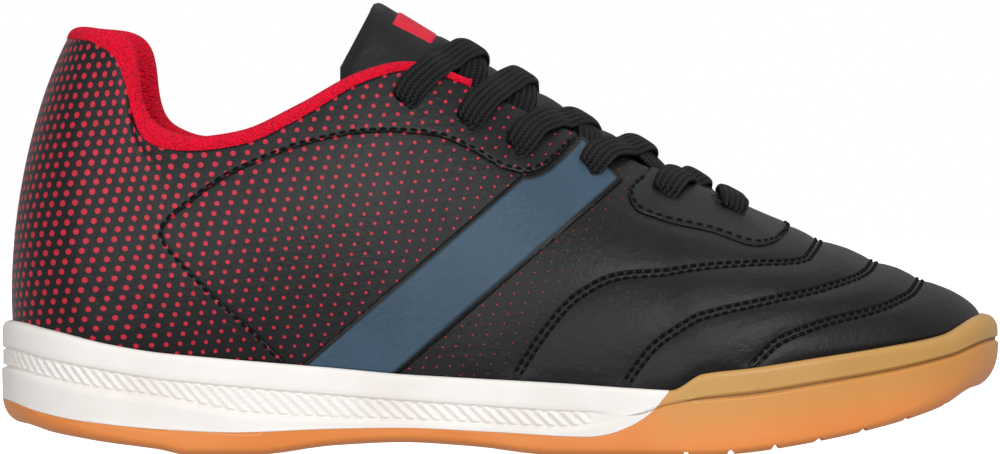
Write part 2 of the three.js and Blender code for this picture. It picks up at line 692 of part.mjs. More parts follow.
// The tongue's upper face at a place of the throat: across runs from -1 under
// the lateral eyelets to 1 under the medial ones
const archShare = columnOf(tongueArch, "share", "at");
const throatUp = new THREE.Vector3(0.52, 0, 0.855).normalize(); // square to the throat
const tongueWay = new THREE.Vector3(-0.855, 0, 0.52).normalize(); // from toe to ankle
function underEyelets(c, below) {
  const inside = Math.abs(c) < liningEnd + 0.02 ? liningThickness(c) + liningGap : 0;
  return fromMouth(c, below, wall + gap + inside).point;
}
function tongueFace(at, across, tuck = 0) {
  const lateral = underEyelets(-at, tuck);
  const medial = underEyelets(at, tuck);
  const share = (across + 1) / 2;
  const rise = archShare(at) * tonguePuff * (1 - across * across);
  return lateral.lerp(medial, share).addScaledVector(throatUp, rise);
}

function tongueSection(at) {
  const wingSteps = 2;
  const archSteps = 8;
  const top = [];
  for (let i = wingSteps; i > 0; i -= 1) top.push(underEyelets(-at, (tongueWing * i) / wingSteps));
  for (let i = 0; i <= archSteps; i += 1) top.push(tongueFace(at, (2 * i) / archSteps - 1));
  for (let i = 1; i <= wingSteps; i += 1) top.push(underEyelets(at, (tongueWing * i) / wingSteps));
  const under = top.map((p, i) => {
    const across = top[Math.min(i + 1, top.length - 1)].clone().sub(top[Math.max(i - 1, 0)]);
    const down = across.cross(tongueWay).normalize();
    return p.clone().addScaledVector(down, (down.z > 0 ? -1 : 1) * tongueThickness);
  });
  return { top, under };
}

// Section that bends round the front of the throat, under the upper
function tongueRoot({ middle, sides, thick }) {
  const steps = 12;
  const line = (depth) => {
    const points = [];
    for (let i = 0; i <= steps; i += 1) {
      const across = (2 * i) / steps - 1;
      const c = (across < 0 ? -1 : 1) * (1 - 0.22 * Math.abs(across));
      points.push(fromMouth(c, middle + (sides - middle) * across * across, depth).point);
    }
    return points;
  };
  return { top: line(wall + gap), under: line(wall + gap + thick) };
}

// Place i of the throat's last section, carried along the tongue's free part
function tongueFreePlace(points, i, share, narrow = 1) {
  const middle = Math.floor(points.length / 2);
  const aside = Math.min(Math.abs(i - middle) / (middle - 2), 1) ** 2;
  const squeeze = new THREE.Vector3(1, narrow, 1);
  return points[i].clone().sub(points[middle]).multiply(squeeze).add(points[middle])
    .addScaledVector(tongueWay, share * tongueFree * (1 - 0.15 * aside))
    .addScaledVector(throatUp, -tongueSag * share * aside);
}

function tongue() {
  const roots = [
    { middle: 9, sides: 9.5, thick: 0.5 * tongueThickness },
    { middle: 1, sides: 7.5, thick: 0.8 * tongueThickness },
  ];
  const stations = [0.73, 0.7, 0.66, 0.62, 0.58, 0.54, 0.505, 0.475, 0.445, 0.415];
  const sections = [...roots.map(tongueRoot), ...stations.map(tongueSection)];
  const last = sections[sections.length - 1];
  for (const [share, narrow] of [[0.35, 0.96], [0.7, 0.92], [0.92, 0.87], [1, 0.76]]) {
    const moved = (points) => points.map((_, i) => tongueFreePlace(points, i, share, narrow));
    sections.push({ top: moved(last.top), under: moved(last.under) });
  }
  return {
    body: solid(loft(sections.map(({ top, under }) => [...top, ...under.slice().reverse()]), "strip")),
    head: last,
  };
}

// Plain patch that lies on the free end of the tongue
function tongueLabel(head) {
  const top = head.top;
  const middle = Math.floor(top.length / 2);
  const places = [middle - 2, middle - 1, middle, middle + 1, middle + 2];
  const reach = tongueFree - labelFromTip;
  const sections = [reach - labelSize.long, reach].map((walk) => {
    const lift = (thick) =>
      places.map((i) => {
        const narrow = labelSize.wide / Math.abs(top[middle + 2].y - top[middle - 2].y);
        const p = tongueFreePlace(top, middle, walk / tongueFree);
        return p.lerp(tongueFreePlace(top, i, walk / tongueFree), Math.min(narrow, 1)).addScaledVector(throatUp, thick);
      });
    return [...lift(gap), ...lift(gap + labelSize.thick).reverse()];
  });
  return solid(loft(sections));
}

// Flat strand through a list of places, its width square to its way
function strand(places) {
  const sections = places.map(({ point, out }, i) => {
    const before = places[Math.max(i - 1, 0)].point;
    const after = places[Math.min(i + 1, places.length - 1)].point;
    const way = after.clone().sub(before).normalize();
    const across = way.clone().cross(out).normalize();
    const up = across.clone().cross(way).normalize();
    const corner = (w, t) =>
      point.clone().addScaledVector(across, (w * laceWidth) / 2).addScaledVector(up, (t * laceThickness) / 2);
    return [corner(-1, 0), corner(-0.8, 1), corner(0.8, 1), corner(1, 0), corner(0.8, -1), corner(-0.8, -1)];
  });
  return solid(loft(sections));
}

// Strand from the eyelet on one side, over its edge and the tongue, to the
// throat's far side at the next eyelet, where the real lace dives under
const laceLift = overlayThickness + 2 * gap + laceThickness / 2;
function crossingStrand(here, next, sign, raise) {
  const from = sign * here.at;
  const stretch = next === eyelets[eyelets.length - 1] ? 0.72 : 1; // room for the bar
  const between = (share) => here.at + (next.at - here.at) * share * stretch;
  const overTongue = (share, across, lift) => {
    const point = tongueFace(between(share), sign * across).addScaledVector(throatUp, lift);
    const outwards = new THREE.Vector3(0, sign * across, 0).addScaledVector(throatUp, 2.2).normalize();
    return { point, out: outwards };
  };
  const low = 1.6 * gap + laceThickness / 2;
  const high = low + laceThickness + gap;
  return strand([
    fromMouth(from, here.below * laceWidth, -laceLift),
    fromMouth(sign * between(0.06), 0.5 * here.below * laceWidth, -laceLift),
    fromMouth(sign * between(0.14), -0.3, -laceLift - 0.45),
    overTongue(0.28, 0.62, high),
    overTongue(0.42, 0.3, low + raise + 0.2),
    overTongue(0.55, 0, low + raise),
    overTongue(0.66, -0.33, low + 0.45),
    overTongue(0.76, -0.6, low + 0.65),
    overTongue(0.83, -0.78, low + 0.2),
  ]);
}
function laceCrossing(here, next) {
  const under = crossingStrand(here, next, 1, 0.2);
  return crossingStrand(here, next, -1, 0.7 * laceThickness).add(under);
}
function laceBar({ at, below }) {
  const half = (sign) => [
    fromMouth(sign * at, below * laceWidth, -laceLift),
    fromMouth(sign * at, 0.4 * below * laceWidth, -laceLift - 0.3),
    fromMouth(sign * at, -0.6, -laceLift - 0.7),
  ];
  const middle = fromMouth(-at, -0.6, -laceLift - 1.2).point.lerp(fromMouth(at, -0.6, -laceLift - 1.2).point, 0.5);
  return strand([...half(-1), { point: middle, out: throatUp }, ...half(1).reverse()]);
}

// Sockliner on the sole's floor
function insole() {
  const sections = [];
  for (let i = 0; i <= insoleSteps; i += 1) {
    const rows = [-1, 1].map((sign) => {
      const c = (sign * i) / insoleSteps;
      const inset = lipAt(c) + 2 * gap + wall + insoleMargin;
      const { point } = planPoint(c, inset);
      const base = side.floor(outline(c).x) + gap;
      const top = planPoint(c, inset + 0.6).point;
      return [point.clone().setZ(base), point.clone().setZ(base + 0.75 * insoleThickness), top.setZ(base + insoleThickness)];
    });
    sections.push([...rows[0], ...rows[1].reverse()]);
  }
  return solid(loft(sections, "folded"));
}

// Triangles across a thin polygon, between its first half and its second
function strip(polygon) {
  const faces = [];
  for (let i = 0; 2 * i < polygon.length - 2; i += 1) {
    const far = polygon.length - 1 - i;
    faces.push([polygon[i], polygon[i + 1], polygon[far]], [polygon[i + 1], polygon[far - 1], polygon[far]]);
  }
  return faces;
}

const finishes = {
  gum: { color: 0xd98d45, roughness: 0.5, metalness: 0 },
  foam: { color: 0xf3efec, roughness: 0.7, metalness: 0 },
  leather: { color: 0x2b2a2d, roughness: 0.55, metalness: 0 },
  slate: { color: 0x3f5566, roughness: 0.5, metalness: 0 },
  knit: { color: 0xd3122b, roughness: 0.95, metalness: 0 },
  lace: { color: 0x141414, roughness: 0.9, metalness: 0 },
  lining: { color: 0x232325, roughness: 0.95, metalness: 0 },
};

const shoe = new THREE.Group();
shoe.position.x = -length / 2;

function addPiece(name, finish, piece) {
  const mesh = piece.getMesh();
  const geometry = new THREE.BufferGeometry();
  const place = new Float32Array(mesh.numVert * 3);
  for (let i = 0; i < mesh.numVert; i += 1) {
    place.set(mesh.vertProperties.subarray(i * mesh.numProp, i * mesh.numProp + 3), i * 3);
  }
  geometry.setAttribute("position", new THREE.BufferAttribute(place, 3));
  geometry.setIndex(new THREE.BufferAttribute(mesh.triVerts, 1));
  geometry.computeVertexNormals();
  const made = new THREE.Mesh(geometry, new THREE.MeshStandardMaterial(finishes[finish]));
  made.name = name;
  shoe.add(made);
}

// Sole
const cup = soleCup();
const above = sidePrism(partingPolygon(gap / 2), -beyond, beyond);
const aboveWide = sidePrism(partingPolygon(-gap / 2), -beyond, beyond);
let midsole = cup.intersect(above);
for (const wedge of ribWedges()) midsole = midsole.add(wedge);
midsole = midsole.intersect(above);
addPiece("outsole", "gum", cup.subtract(aboveWide).subtract(treadCutter()));
addPiece("midsole", "foam", midsole);
addPiece("insole", "lining", insole());

// Upper, and the panels on it
const holes = eyeletCutter();
addPiece("upper", "leather", upperShell(0, wall, "floor").subtract(holes));
const skin = upperShell(-overlayGap - overlayThickness, -overlayGap, "rim").subtract(holes);
const quarterCorners = [...quarterSeam.map(placeInSideView), [beyond / 4, 2 * backHeight], [-beyond, 2 * backHeight], [-beyond, 0]];
const quarterRegion = sidePrism(quarterCorners, -beyond, beyond);
addPiece("quarter_panel", "leather", skin.intersect(quarterRegion));
const facingCorners = facingSeam.map(placeInSideView);
const facingRegion = sidePrism(facingCorners, -beyond, beyond);
addPiece("front_facing", "leather", skin.intersect(facingRegion));

// Slanting band on each side, stopped by the panels beside it
const [bandFoot, bandHead] = bandLine.map(placeInSideView);
const bandRun = Math.hypot(bandHead[0] - bandFoot[0], bandHead[1] - bandFoot[1]);
const bandOff = [
  (-(bandHead[1] - bandFoot[1]) / bandRun) * (bandWidth / 2),
  ((bandHead[0] - bandFoot[0]) / bandRun) * (bandWidth / 2),
];
const bandCorners = [
  [bandFoot[0] + bandOff[0], bandFoot[1] + bandOff[1]],
  [bandHead[0] + bandOff[0], bandHead[1] + bandOff[1]],
  [bandHead[0] - bandOff[0], bandHead[1] - bandOff[1]],
  [bandFoot[0] - bandOff[0], bandFoot[1] - bandOff[1]],
];
const shifted = (x, z) => sidePrism(quarterCorners, -beyond, beyond).translate([x, 0, z]);
for (const [name, fromY, toY] of [["side_band_lateral", -beyond, 0], ["side_band_medial", 0, beyond]]) {
  const band = skin.intersect(sidePrism(bandCorners, fromY, toY));
  addPiece(name, "slate", band.subtract(shifted(gap, 0)).subtract(shifted(0, -gap)));
}

// Lining, tongue and laces
addPiece("collar_lining", "knit", collarLining());
const { body, head } = tongue();
addPiece("tongue", "leather", body);
addPiece("tongue_label", "knit", tongueLabel(head));
for (let i = 0; i < eyelets.length - 1; i += 1) {
  addPiece("lace_crossing_" + (i + 1), "lace", laceCrossing(eyelets[i], eyelets[i + 1]));
}
addPiece("lace_bar", "lace", laceBar(eyelets[eyelets.length - 1]));

export default shoe;
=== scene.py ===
import math

import bpy
import numpy as np
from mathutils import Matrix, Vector
from mathutils.kdtree import KDTree


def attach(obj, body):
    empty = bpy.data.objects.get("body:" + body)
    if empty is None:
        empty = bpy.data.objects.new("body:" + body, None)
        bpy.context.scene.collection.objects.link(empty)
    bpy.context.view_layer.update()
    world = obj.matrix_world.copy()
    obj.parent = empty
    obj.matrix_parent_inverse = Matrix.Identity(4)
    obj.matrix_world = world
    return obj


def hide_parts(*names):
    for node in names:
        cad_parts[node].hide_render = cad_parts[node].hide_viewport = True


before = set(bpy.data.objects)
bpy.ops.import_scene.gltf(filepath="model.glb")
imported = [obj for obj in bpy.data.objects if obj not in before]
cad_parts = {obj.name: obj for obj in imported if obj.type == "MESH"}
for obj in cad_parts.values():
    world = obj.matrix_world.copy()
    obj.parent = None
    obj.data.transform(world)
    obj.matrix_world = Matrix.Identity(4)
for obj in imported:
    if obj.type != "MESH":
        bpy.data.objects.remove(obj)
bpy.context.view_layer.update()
chance = np.random.default_rng(11)

# Driving sizes
LENGTH = 214.0
BALL = 80.0
HEEL = 60.0
WAIST = 55.0
RIM = 27.6
BACK = 88.4
COLLAR = 50.0
THROAT = 27.0
WALL = 1.8
GAP = 0.35
LINING_GAP = 0.65
PADDING = 6.2
ROLL = 3.2
DROP = 22.0
TONGUE_THICK = 3.0
TONGUE_FREE = 16.0
PUFF = 11.5
WING = 8.0
TONGUE_SAG = 4.6
LABEL_FROM_TIP = 6.0
LABEL_LONG = 11.0
LABEL_WIDE = 10.8
LABEL_THICK = 0.7
LACE_WIDE = 6.4
LACE_THICK = 1.9
EYELET = 2.0
LINING_END = 0.46
TOE_ASIDE = 0.06 * THROAT


def curve_through(x, y):
    """Smooth curve through the rows of a table, with no overshoot."""
    x = np.asarray(x, float)
    y = np.asarray(y, float)
    slope = np.diff(y) / np.diff(x)
    product = slope[:-1] * slope[1:]
    total = slope[:-1] + slope[1:]
    tangent = np.zeros(len(x))
    tangent[1:-1] = np.where(product > 0, 2 * product / np.where(total == 0, 1, total), 0)

    def at(place):
        p = np.clip(place, x[0], x[-1])
        i = np.clip(np.searchsorted(x, p, side="right") - 1, 0, len(x) - 2)
        h = x[i + 1] - x[i]
        t = (p - x[i]) / h
        s = 1 - t
        value = y[i] * s * s * (1 + 2 * t) + y[i + 1] * t * t * (3 - 2 * t)
        return value + tangent[i] * h * t * s * s - tangent[i + 1] * h * t * t * s

    return at


def soft(low, high, value):
    """Smooth step from 0 at low to 1 at high."""
    t = np.clip((value - low) / (high - low), 0, 1)
    return t * t * (3 - 2 * t)


def unit(v):
    return v / np.maximum(np.linalg.norm(v, axis=-1, keepdims=True), 1e-12)


def walk(points):
    """Length walked along a line up to each of its points."""
    return np.concatenate([[0], np.cumsum(np.linalg.norm(np.diff(points, axis=0), axis=1))])


# Plan outline of the sole: share of the length, share of the width, width
LATERAL = [
    (0, 0, HEEL), (0.019, 0.258, HEEL), (0.079, 0.442, HEEL), (0.178, 0.5, HEEL),
    (0.29, 0.532, WAIST), (0.402, 0.532, WAIST), (0.514, 0.412, BALL), (0.617, 0.475, BALL),
    (0.701, 0.504, BALL), (0.776, 0.491, BALL), (0.85, 0.429, BALL), (0.928, 0.316, BALL),
    (0.977, 0.16, BALL),
]
MEDIAL = [
    (1, 0.05, BALL), (0.986, 0.222, BALL), (0.951, 0.35, BALL), (0.888, 0.435, BALL),
    (0.804, 0.488, BALL), (0.72, 0.496, BALL), (0.626, 0.46, BALL), (0.528, 0.388, BALL),
    (0.43, 0.487, WAIST), (0.346, 0.471, WAIST), (0.262, 0.498, WAIST), (0.178, 0.493, HEEL),
    (0.079, 0.442, HEEL), (0.019, 0.258, HEEL),
]

# Side of the sole: share of the length, then shares of RIM, then millimetres
SIDE = np.array([
    # along, bottom, channel low, channel high, rim, floor, recess, lip
    (0, 0.235, 0.667, 0.819, 1.03, 0.49, 1.3, 2.6),
    (0.047, 0.165, 0.591, 0.739, 0.964, 0.471, 1.3, 2.6),
    (0.103, 0.1, 0.507, 0.659, 0.866, 0.457, 1.3, 2.6),
    (0.16, 0.045, 0.449, 0.587, 0.793, 0.442, 1.3, 2.6),
    (0.19, 0, 0.406, 0.564, 0.771, 0.44, 1.3, 2.6),
    (0.25, 0, 0.32, 0.52, 0.73, 0.435, 1.3, 2.6),
    (0.336, 0.076, 0.283, 0.464, 0.674, 0.413, 1.3, 2.6),
    (0.402, 0.1, 0.268, 0.424, 0.627, 0.384, 1.3, 2.6),
    (0.467, 0.072, 0.246, 0.391, 0.598, 0.348, 1.3, 2.6),
    (0.56, 0, 0.217, 0.348, 0.56, 0.29, 1.1, 2.6),
    (0.63, 0, 0.29, 0.338, 0.525, 0.27, 0, 2.6),
    (0.668, 0, 0.39, 0.42, 0.511, 0.27, 0, 2.7),
    (0.7, 0, 0.428, 0.464, 0.634, 0.272, 0.5, 2.9),
    (0.748, 0.03, 0.464, 0.5, 0.678, 0.301, 1.2, 3.1),
    (0.818, 0.11, 0.547, 0.583, 0.757, 0.377, 1.2, 3.3),
    (0.888, 0.225, 0.638, 0.674, 0.837, 0.493, 1.2, 3.5),
    (0.949, 0.355, 0.743, 0.779, 0.922, 0.634, 1.2, 3.6),
    (1, 0.507, 0.866, 0.902, 1.08, 0.779, 1.2, 3.7),
])
side_x = SIDE[:, 0] * LENGTH
bottom_at, low_at, high_at, rim_at, floor_at = [curve_through(side_x, SIDE[:, k] * RIM) for k in range(1, 6)]
recess_at = curve_through(side_x, SIDE[:, 6])
lip_by_x = curve_through(side_x, SIDE[:, 7])

# Rounding of the lower edge and of the rim, inwards and in height
ROUNDING = np.array([
    (0, 4.4, 5.4, 1.6, 1.9), (0.06, 3.6, 3, 1.1, 1.3), (0.16, 3, 1.8, 0.8, 1.1), (0.85, 3, 1.8, 0.9, 1.2),
    (0.93, 3.8, 4, 1.6, 2), (1, 5.6, 8, 3, 3.4),
])
rounding_x = ROUNDING[:, 0] * LENGTH
under_in, under_up, over_in, over_down = [curve_through(rounding_x, ROUNDING[:, k]) for k in range(1, 5)]

# Line between pale midsole and gum outsole: share of the length, share of RIM
PARTING = np.array([
    (-0.05, 0.44), (0, 0.424), (0.037, 0.337), (0.08, 0.268), (0.168, 0.2), (0.234, 0.179),
    (0.336, 0.207), (0.398, 0.214), (0.501, 0.181), (0.585, 0.15), (0.604, 0.167), (0.629, 0.236),
    (0.65, 0.344), (0.66, 0.435), (0.667, 0.511), (0.674, 0.7),
])
parting_at = curve_through(PARTING[:, 0] * LENGTH, PARTING[:, 1] * RIM)

# Ribs of the upper from the heel's back to the toe, on both sides
RIBS = np.array([
    # at, x, side, width, z, rim out, rim up, mouth out, mouth up
    (0, 0.0682, 0, COLLAR, 1, 0.014, 0.204, 0.096, -0.187),
    (0.05, 0.0732, 0.34, COLLAR, 1.002, 0.018, 0.2, 0.096, -0.187),
    (0.1, 0.0871, 0.58, COLLAR, 0.998, 0.029, 0.19, 0.09, -0.19),
    (0.145, 0.113, 0.72, COLLAR, 0.974, 0.05, 0.18, 0.075, -0.19),
    (0.175, 0.1259, 0.81, COLLAR, 0.888, 0.05, 0.17, 0.065, -0.17),
    (0.19, 0.1334, 0.86, COLLAR, 0.802, 0.05, 0.165, 0.06, -0.165),
    (0.21, 0.1508, 0.91, COLLAR, 0.753, 0.05, 0.16, 0.055, -0.16),
    (0.24, 0.1916, 0.98, COLLAR, 0.731, 0.05, 0.16, 0.05, -0.16),
    (0.28, 0.2453, 1, COLLAR, 0.748, 0.045, 0.17, 0.055, -0.17),
    (0.33, 0.3069, 0.92, COLLAR, 0.818, 0.04, 0.19, 0.075, -0.19),
    (0.38, 0.3666, 0.79, COLLAR, 0.9, 0.038, 0.22, 0.09, -0.21),
    (0.415, 0.4093, 1.26, THROAT, 0.926, 0.038, 0.25, 0.1, -0.2),
    (0.46, 0.469, 1.1, THROAT, 0.885, 0.036, 0.26, 0.115, -0.15),
    (0.505, 0.5187, 0.98, THROAT, 0.829, 0.034, 0.25, 0.13, -0.115),
    (0.555, 0.5724, 0.87, THROAT, 0.772, 0.03, 0.235, 0.145, -0.085),
    (0.605, 0.6261, 0.76, THROAT, 0.715, 0.028, 0.22, 0.155, -0.065),
    (0.66, 0.6798, 0.63, THROAT, 0.66, 0.024, 0.19, 0.17, -0.05),
    (0.73, 0.7216, 0.47, THROAT, 0.621, 0.018, 0.155, 0.205, -0.06),
    (0.8, 0.7415, 0.32, THROAT, 0.598, 0.008, 0.108, 0.25, -0.092),
    (0.9, 0.7499, 0.15, THROAT, 0.589, -0.003, 0.08, 0.31, -0.13),
    (1, 0.7524, -0.06, THROAT, 0.586, -0.006, 0.068, 0.335, -0.142),
])
shift_at = curve_through([0, 0.1, 0.16, 0.21, 0.3], [0, 0.004, 0.014, 0.012, 0])
padding_share = curve_through([0, 0.08, 0.15, 0.2, 0.3, 0.4, 0.48], [1, 0.95, 0.72, 0.8, 0.65, 0.42, 0.28])
roll_share = curve_through([0, 0.3, 0.4, 0.48], [1, 1, 0.66, 0.5])
arch_share = curve_through([0.4, 0.46, 0.52, 0.58, 0.66, 0.74, 0.86], [1, 0.78, 0.57, 0.44, 0.27, 0.1, 0])
EYELETS = [(0.412, 0.93), (0.461, 1.2), (0.506, 1.3), (0.574, 1.02), (0.642, 0.98), (0.716, 0.8)]
THROAT_UP = unit(np.array([0.52, 0, 0.855]))
TONGUE_WAY = unit(np.array([-0.855, 0, 0.52]))


def outline_tables():
    """Places along the sole's outline, by share of each side's perimeter."""
    points = [(a * LENGTH, -s * w) for a, s, w in LATERAL] + [(a * LENGTH, s * w) for a, s, w in MEDIAL]
    points = np.array(points, float)
    n = len(points)

    def through(t):
        i = np.floor(t * n).astype(int)
        f = (t * n - i)[:, None]
        p = [points[(i + k) % n] for k in (-1, 0, 1, 2)]
        d = [np.maximum(np.linalg.norm(p[k + 1] - p[k], axis=1), 1e-9)[:, None] ** 0.5 for k in range(3)]
        m1 = ((p[1] - p[0]) / d[0] - (p[2] - p[0]) / (d[0] + d[1]) + (p[2] - p[1]) / d[1]) * d[1]
        m2 = ((p[2] - p[1]) / d[1] - (p[3] - p[1]) / (d[1] + d[2]) + (p[3] - p[2]) / d[2]) * d[1]
        c2 = -3 * p[1] + 3 * p[2] - 2 * m1 - m2
        c3 = 2 * p[1] - 2 * p[2] + m1 + m2
        return p[1] + m1 * f + c2 * f ** 2 + c3 * f ** 3

    toe = len(LATERAL) / n
    tables = []
    for start in (0.0, 1.0):
        place = through(start + (toe - start) * np.linspace(0, 1, 4001))
        walked = walk(place)
        tables.append((walked / walked[-1], place[:, 0], place[:, 1], walked[-1]))
    return tables


OUTLINE = outline_tables()


def outline(c):
    c = np.asarray(c, float)
    c = np.where(c > 1, c - 2, np.where(c < -1, c + 2, c))
    a = np.abs(c)
    lateral, medial = OUTLINE
    values = [
        np.where(c < 0, np.interp(a, lateral[0], lateral[k]), np.interp(a, medial[0], medial[k]))
        for k in (1, 2)
    ]
    return np.stack(values, -1)


def plan(c, inset):
    """Point of the outline moved inwards, and the outward direction there."""
    along = outline(c + 0.004) - outline(c - 0.004)
    out = unit(np.stack([-along[..., 1], along[..., 0]], -1))
    return outline(c) - out * np.asarray(inset)[..., None], out


def rib_curves():
    """Each column of the ribs' table as a curve right round the shoe."""
    curves = []
    at = RIBS[:, 0]
    half = RIBS[:, 2] * RIBS[:, 3] / 2
    sides = {}
    for sign in (-1, 1):
        x = (RIBS[:, 1] + (shift_at(at) if sign > 0 else 0)) * LENGTH
        y = sign * half + TOE_ASIDE * at
        y[-1] = TOE_ASIDE
        sides[sign] = [x, y] + [RIBS[:, k] * BACK for k in (4, 5, 6, 7, 8)]
    for k in range(7):
        loop = np.concatenate([sides[-1][k][::-1], sides[1][k][1:]])
        c = np.concatenate([-at[::-1], at[1:]])
        c = np.concatenate([c[-3:-1] - 2, c, c[1:3] + 2])
        loop = np.concatenate([loop[-3:-1], loop, loop[1:3]])
        curves.append(curve_through(c, loop))
    return curves


RIB = rib_curves()


def upper_face(c, v):
    """Outer face of the upper: v runs from the sole's rim, 0, to the mouth, 1. Where the
    collar climbs, each place is the mean of its neighbours, for an even turn."""
    c, v = np.broadcast_arrays(np.asarray(c, float), np.asarray(v, float))
    calm = soft(0.11, 0.15, np.abs(c)) * soft(0.29, 0.23, np.abs(c))
    calm = calm * soft(0.99, 0.8, v) * soft(0.02, 0.2, v)
    plain = ruled_face(c, v)
    if not calm.any():
        return plain
    around = sum(ruled_face(c + step, v) for step in (-0.03, -0.02, -0.01, 0.01, 0.02, 0.03))
    return plain + (around / 6 - plain) * calm[..., None]


def ruled_face(c, v):
    """The face as the ribs give it, each a curve from the rim to the mouth."""
    lip = lip_by_x(outline(c)[..., 0])
    point, out = plan(c, lip + GAP)
    foot = np.concatenate([point, rim_at(point[..., 0])[..., None]], -1)
    out3 = np.concatenate([out, np.zeros(out.shape[:-1] + (1,))], -1)
    up = np.array([0, 0, 1.0])
    x, y, z, rim_out, rim_up, mouth_out, mouth_up = [curve(c)[..., None] for curve in RIB]
    mouth = np.concatenate([x, y, z], -1)
    a = foot + out3 * rim_out + up * rim_up
    b = mouth + out3 * mouth_out + up * mouth_up
    t = v[..., None]
    s = 1 - t
    return foot * s ** 3 + 3 * a * s * s * t + 3 * b * s * t * t + mouth * t ** 3


def upper_place(c, v, depth=0.0):
    """Place sunk by depth below the upper's face, with its directions."""
    c, v, depth = np.broadcast_arrays(np.asarray(c, float), np.asarray(v, float), np.asarray(depth, float))
    here = upper_face(c, v)
    around = upper_face(c + 0.006, v) - upper_face(c - 0.006, v)
    up = unit(upper_face(c, np.minimum(v + 0.01, 1)) - upper_face(c, np.maximum(v - 0.01, 0)))
    out = unit(np.cross(up, around))
    return here - out * depth[..., None], out, up


def mouth_v(c, distance):
    """v of each place that lies so far below the mouth, on columns c."""
    steps = np.linspace(1, 0, 61)
    line = upper_face(c[:, None], steps[None, :])
    stride = np.linalg.norm(np.diff(line, axis=1), axis=2)
    walked = np.concatenate([np.zeros((len(c), 1)), np.cumsum(stride, axis=1)], 1)
    return np.array([np.interp(d, w, steps) for d, w in zip(distance, walked)])


def from_mouth(c, distance, depth=0.0):
    """Places at a distance down from the mouth; below zero they lie above it."""
    c = np.atleast_1d(np.asarray(c, float))
    distance = np.broadcast_to(np.asarray(distance, float), (len(c),) + np.shape(distance)[1:])
    if distance.ndim == 1:
        distance = distance[:, None]
    v = mouth_v(c, np.maximum(distance, 0))
    around = np.broadcast_to(c[:, None], distance.shape)
    place, out, up = upper_place(around, v, np.broadcast_to(depth, distance.shape))
    way = upper_face(around + 0.01, 1.0) - upper_face(around - 0.01, 1.0)
    above = unit(np.cross(way, out))
    above = above * np.sign((above * up).sum(-1, keepdims=True))
    lifted = place + above * np.maximum(-distance, 0)[..., None]
    return lifted, out, up


# Meshes
def make_piece(name, points, faces, materials, nodes=(), uv=None, picks=None):
    """Makes a mesh object from points in millimetres, measured from the heel."""
    mesh = bpy.data.meshes.new(name)
    placed = (np.asarray(points, float).reshape(-1, 3) - np.array([LENGTH / 2, 0, 0])) * 0.001
    used = [tuple(int(i) for i in face) for face in faces]
    mesh.from_pydata(placed.tolist(), [], used)
    if uv is not None:
        index = np.empty(len(mesh.loops), dtype=np.int32)
        mesh.loops.foreach_get("vertex_index", index)
        places = np.asarray(uv, float)[index] * 0.001
        for k, layer_name in enumerate(("flat", "edge")[: places.shape[1] // 2]):
            layer = mesh.uv_layers.new(name=layer_name)
            layer.data.foreach_set("uv", places[:, 2 * k : 2 * k + 2].astype(np.float32).ravel())
    for material in materials:
        mesh.materials.append(material)
    if picks is not None:
        mesh.polygons.foreach_set("material_index", np.asarray(picks, dtype=np.int32))
    mesh.polygons.foreach_set("use_smooth", [True] * len(mesh.polygons))
    mesh.validate()
    mesh.update()
    piece = add_object(name, mesh)
    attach(piece, "root")
    if nodes:
        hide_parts(*nodes)
    return piece


def add_object(name, data):
    made = bpy.data.objects.new(name, data)
    bpy.context.scene.collection.objects.link(made)
    return made


def add_shell(piece, thick):
    """Gives a sheet its thickness, inwards."""
    shell = piece.modifiers.new("thickness", "SOLIDIFY")
    shell.thickness = thick * 0.001
    shell.offset = -1


def grid_faces(rows, columns, ring_rows=False, ring_columns=False, start=0):
    """Quads of a grid whose point (i, j) has the number start + i * columns + j."""
    i = np.arange(rows if ring_rows else rows - 1)
    j = np.arange(columns if ring_columns else columns - 1)
    i, j = np.meshgrid(i, j, indexing="ij")
    i2 = (i + 1) % rows
    j2 = (j + 1) % columns
    quads = np.stack([i * columns + j, i2 * columns + j, i2 * columns + j2, i * columns + j2], -1)
    return quads.reshape(-1, 4) + start


def triangles(quads):
    return np.concatenate([quads[:, [0, 1, 2]], quads[:, [0, 2, 3]]])


def turned_out(points, faces, outward):
    """The faces in the order that makes their normals point outwards."""
    a, b, c = [points[faces[:, k]] for k in range(3)]
    lean = (np.cross(b - a, c - a) * outward[faces[:, 0]]).sum()
    return faces if lean > 0 else faces[:, ::-1]


def clip(points, uv, faces, keep):
    """The part of a triangle mesh where keep is above zero, cut across its faces."""
    inside = keep[faces] > 0
    count = inside.sum(1)
    kept = [faces[count == 3]]
    made = {}
    new_points = []
    new_uv = []

    def between(a, b):
        key = (min(a, b), max(a, b))
        if key not in made:
            t = keep[a] / (keep[a] - keep[b])
            made[key] = len(points) + len(made)
            new_points.append(points[a] + (points[b] - points[a]) * t)
            new_uv.append(uv[a] + (uv[b] - uv[a]) * t)
        return made[key]

    extra = []
    mixed = (count > 0) & (count < 3)
    for face, flags in zip(faces[mixed].tolist(), inside[mixed].tolist()):
        loop = []
        for k in range(3):
            a, b = face[k], face[(k + 1) % 3]
            if flags[k]:
                loop.append(a)
            if flags[k] != flags[(k + 1) % 3]:
                loop.append(between(a, b))
        for k in range(1, len(loop) - 1):
            extra.append((loop[0], loop[k], loop[k + 1]))
    if extra:
        kept.append(np.array(extra))
    faces = np.concatenate(kept)
    points = np.concatenate([points] + ([np.array(new_points)] if new_points else []))
    uv = np.concatenate([uv] + ([np.array(new_uv)] if new_uv else []))
    used, renumbered = np.unique(faces, return_inverse=True)
    return points[used], uv[used], renumbered.reshape(faces.shape)


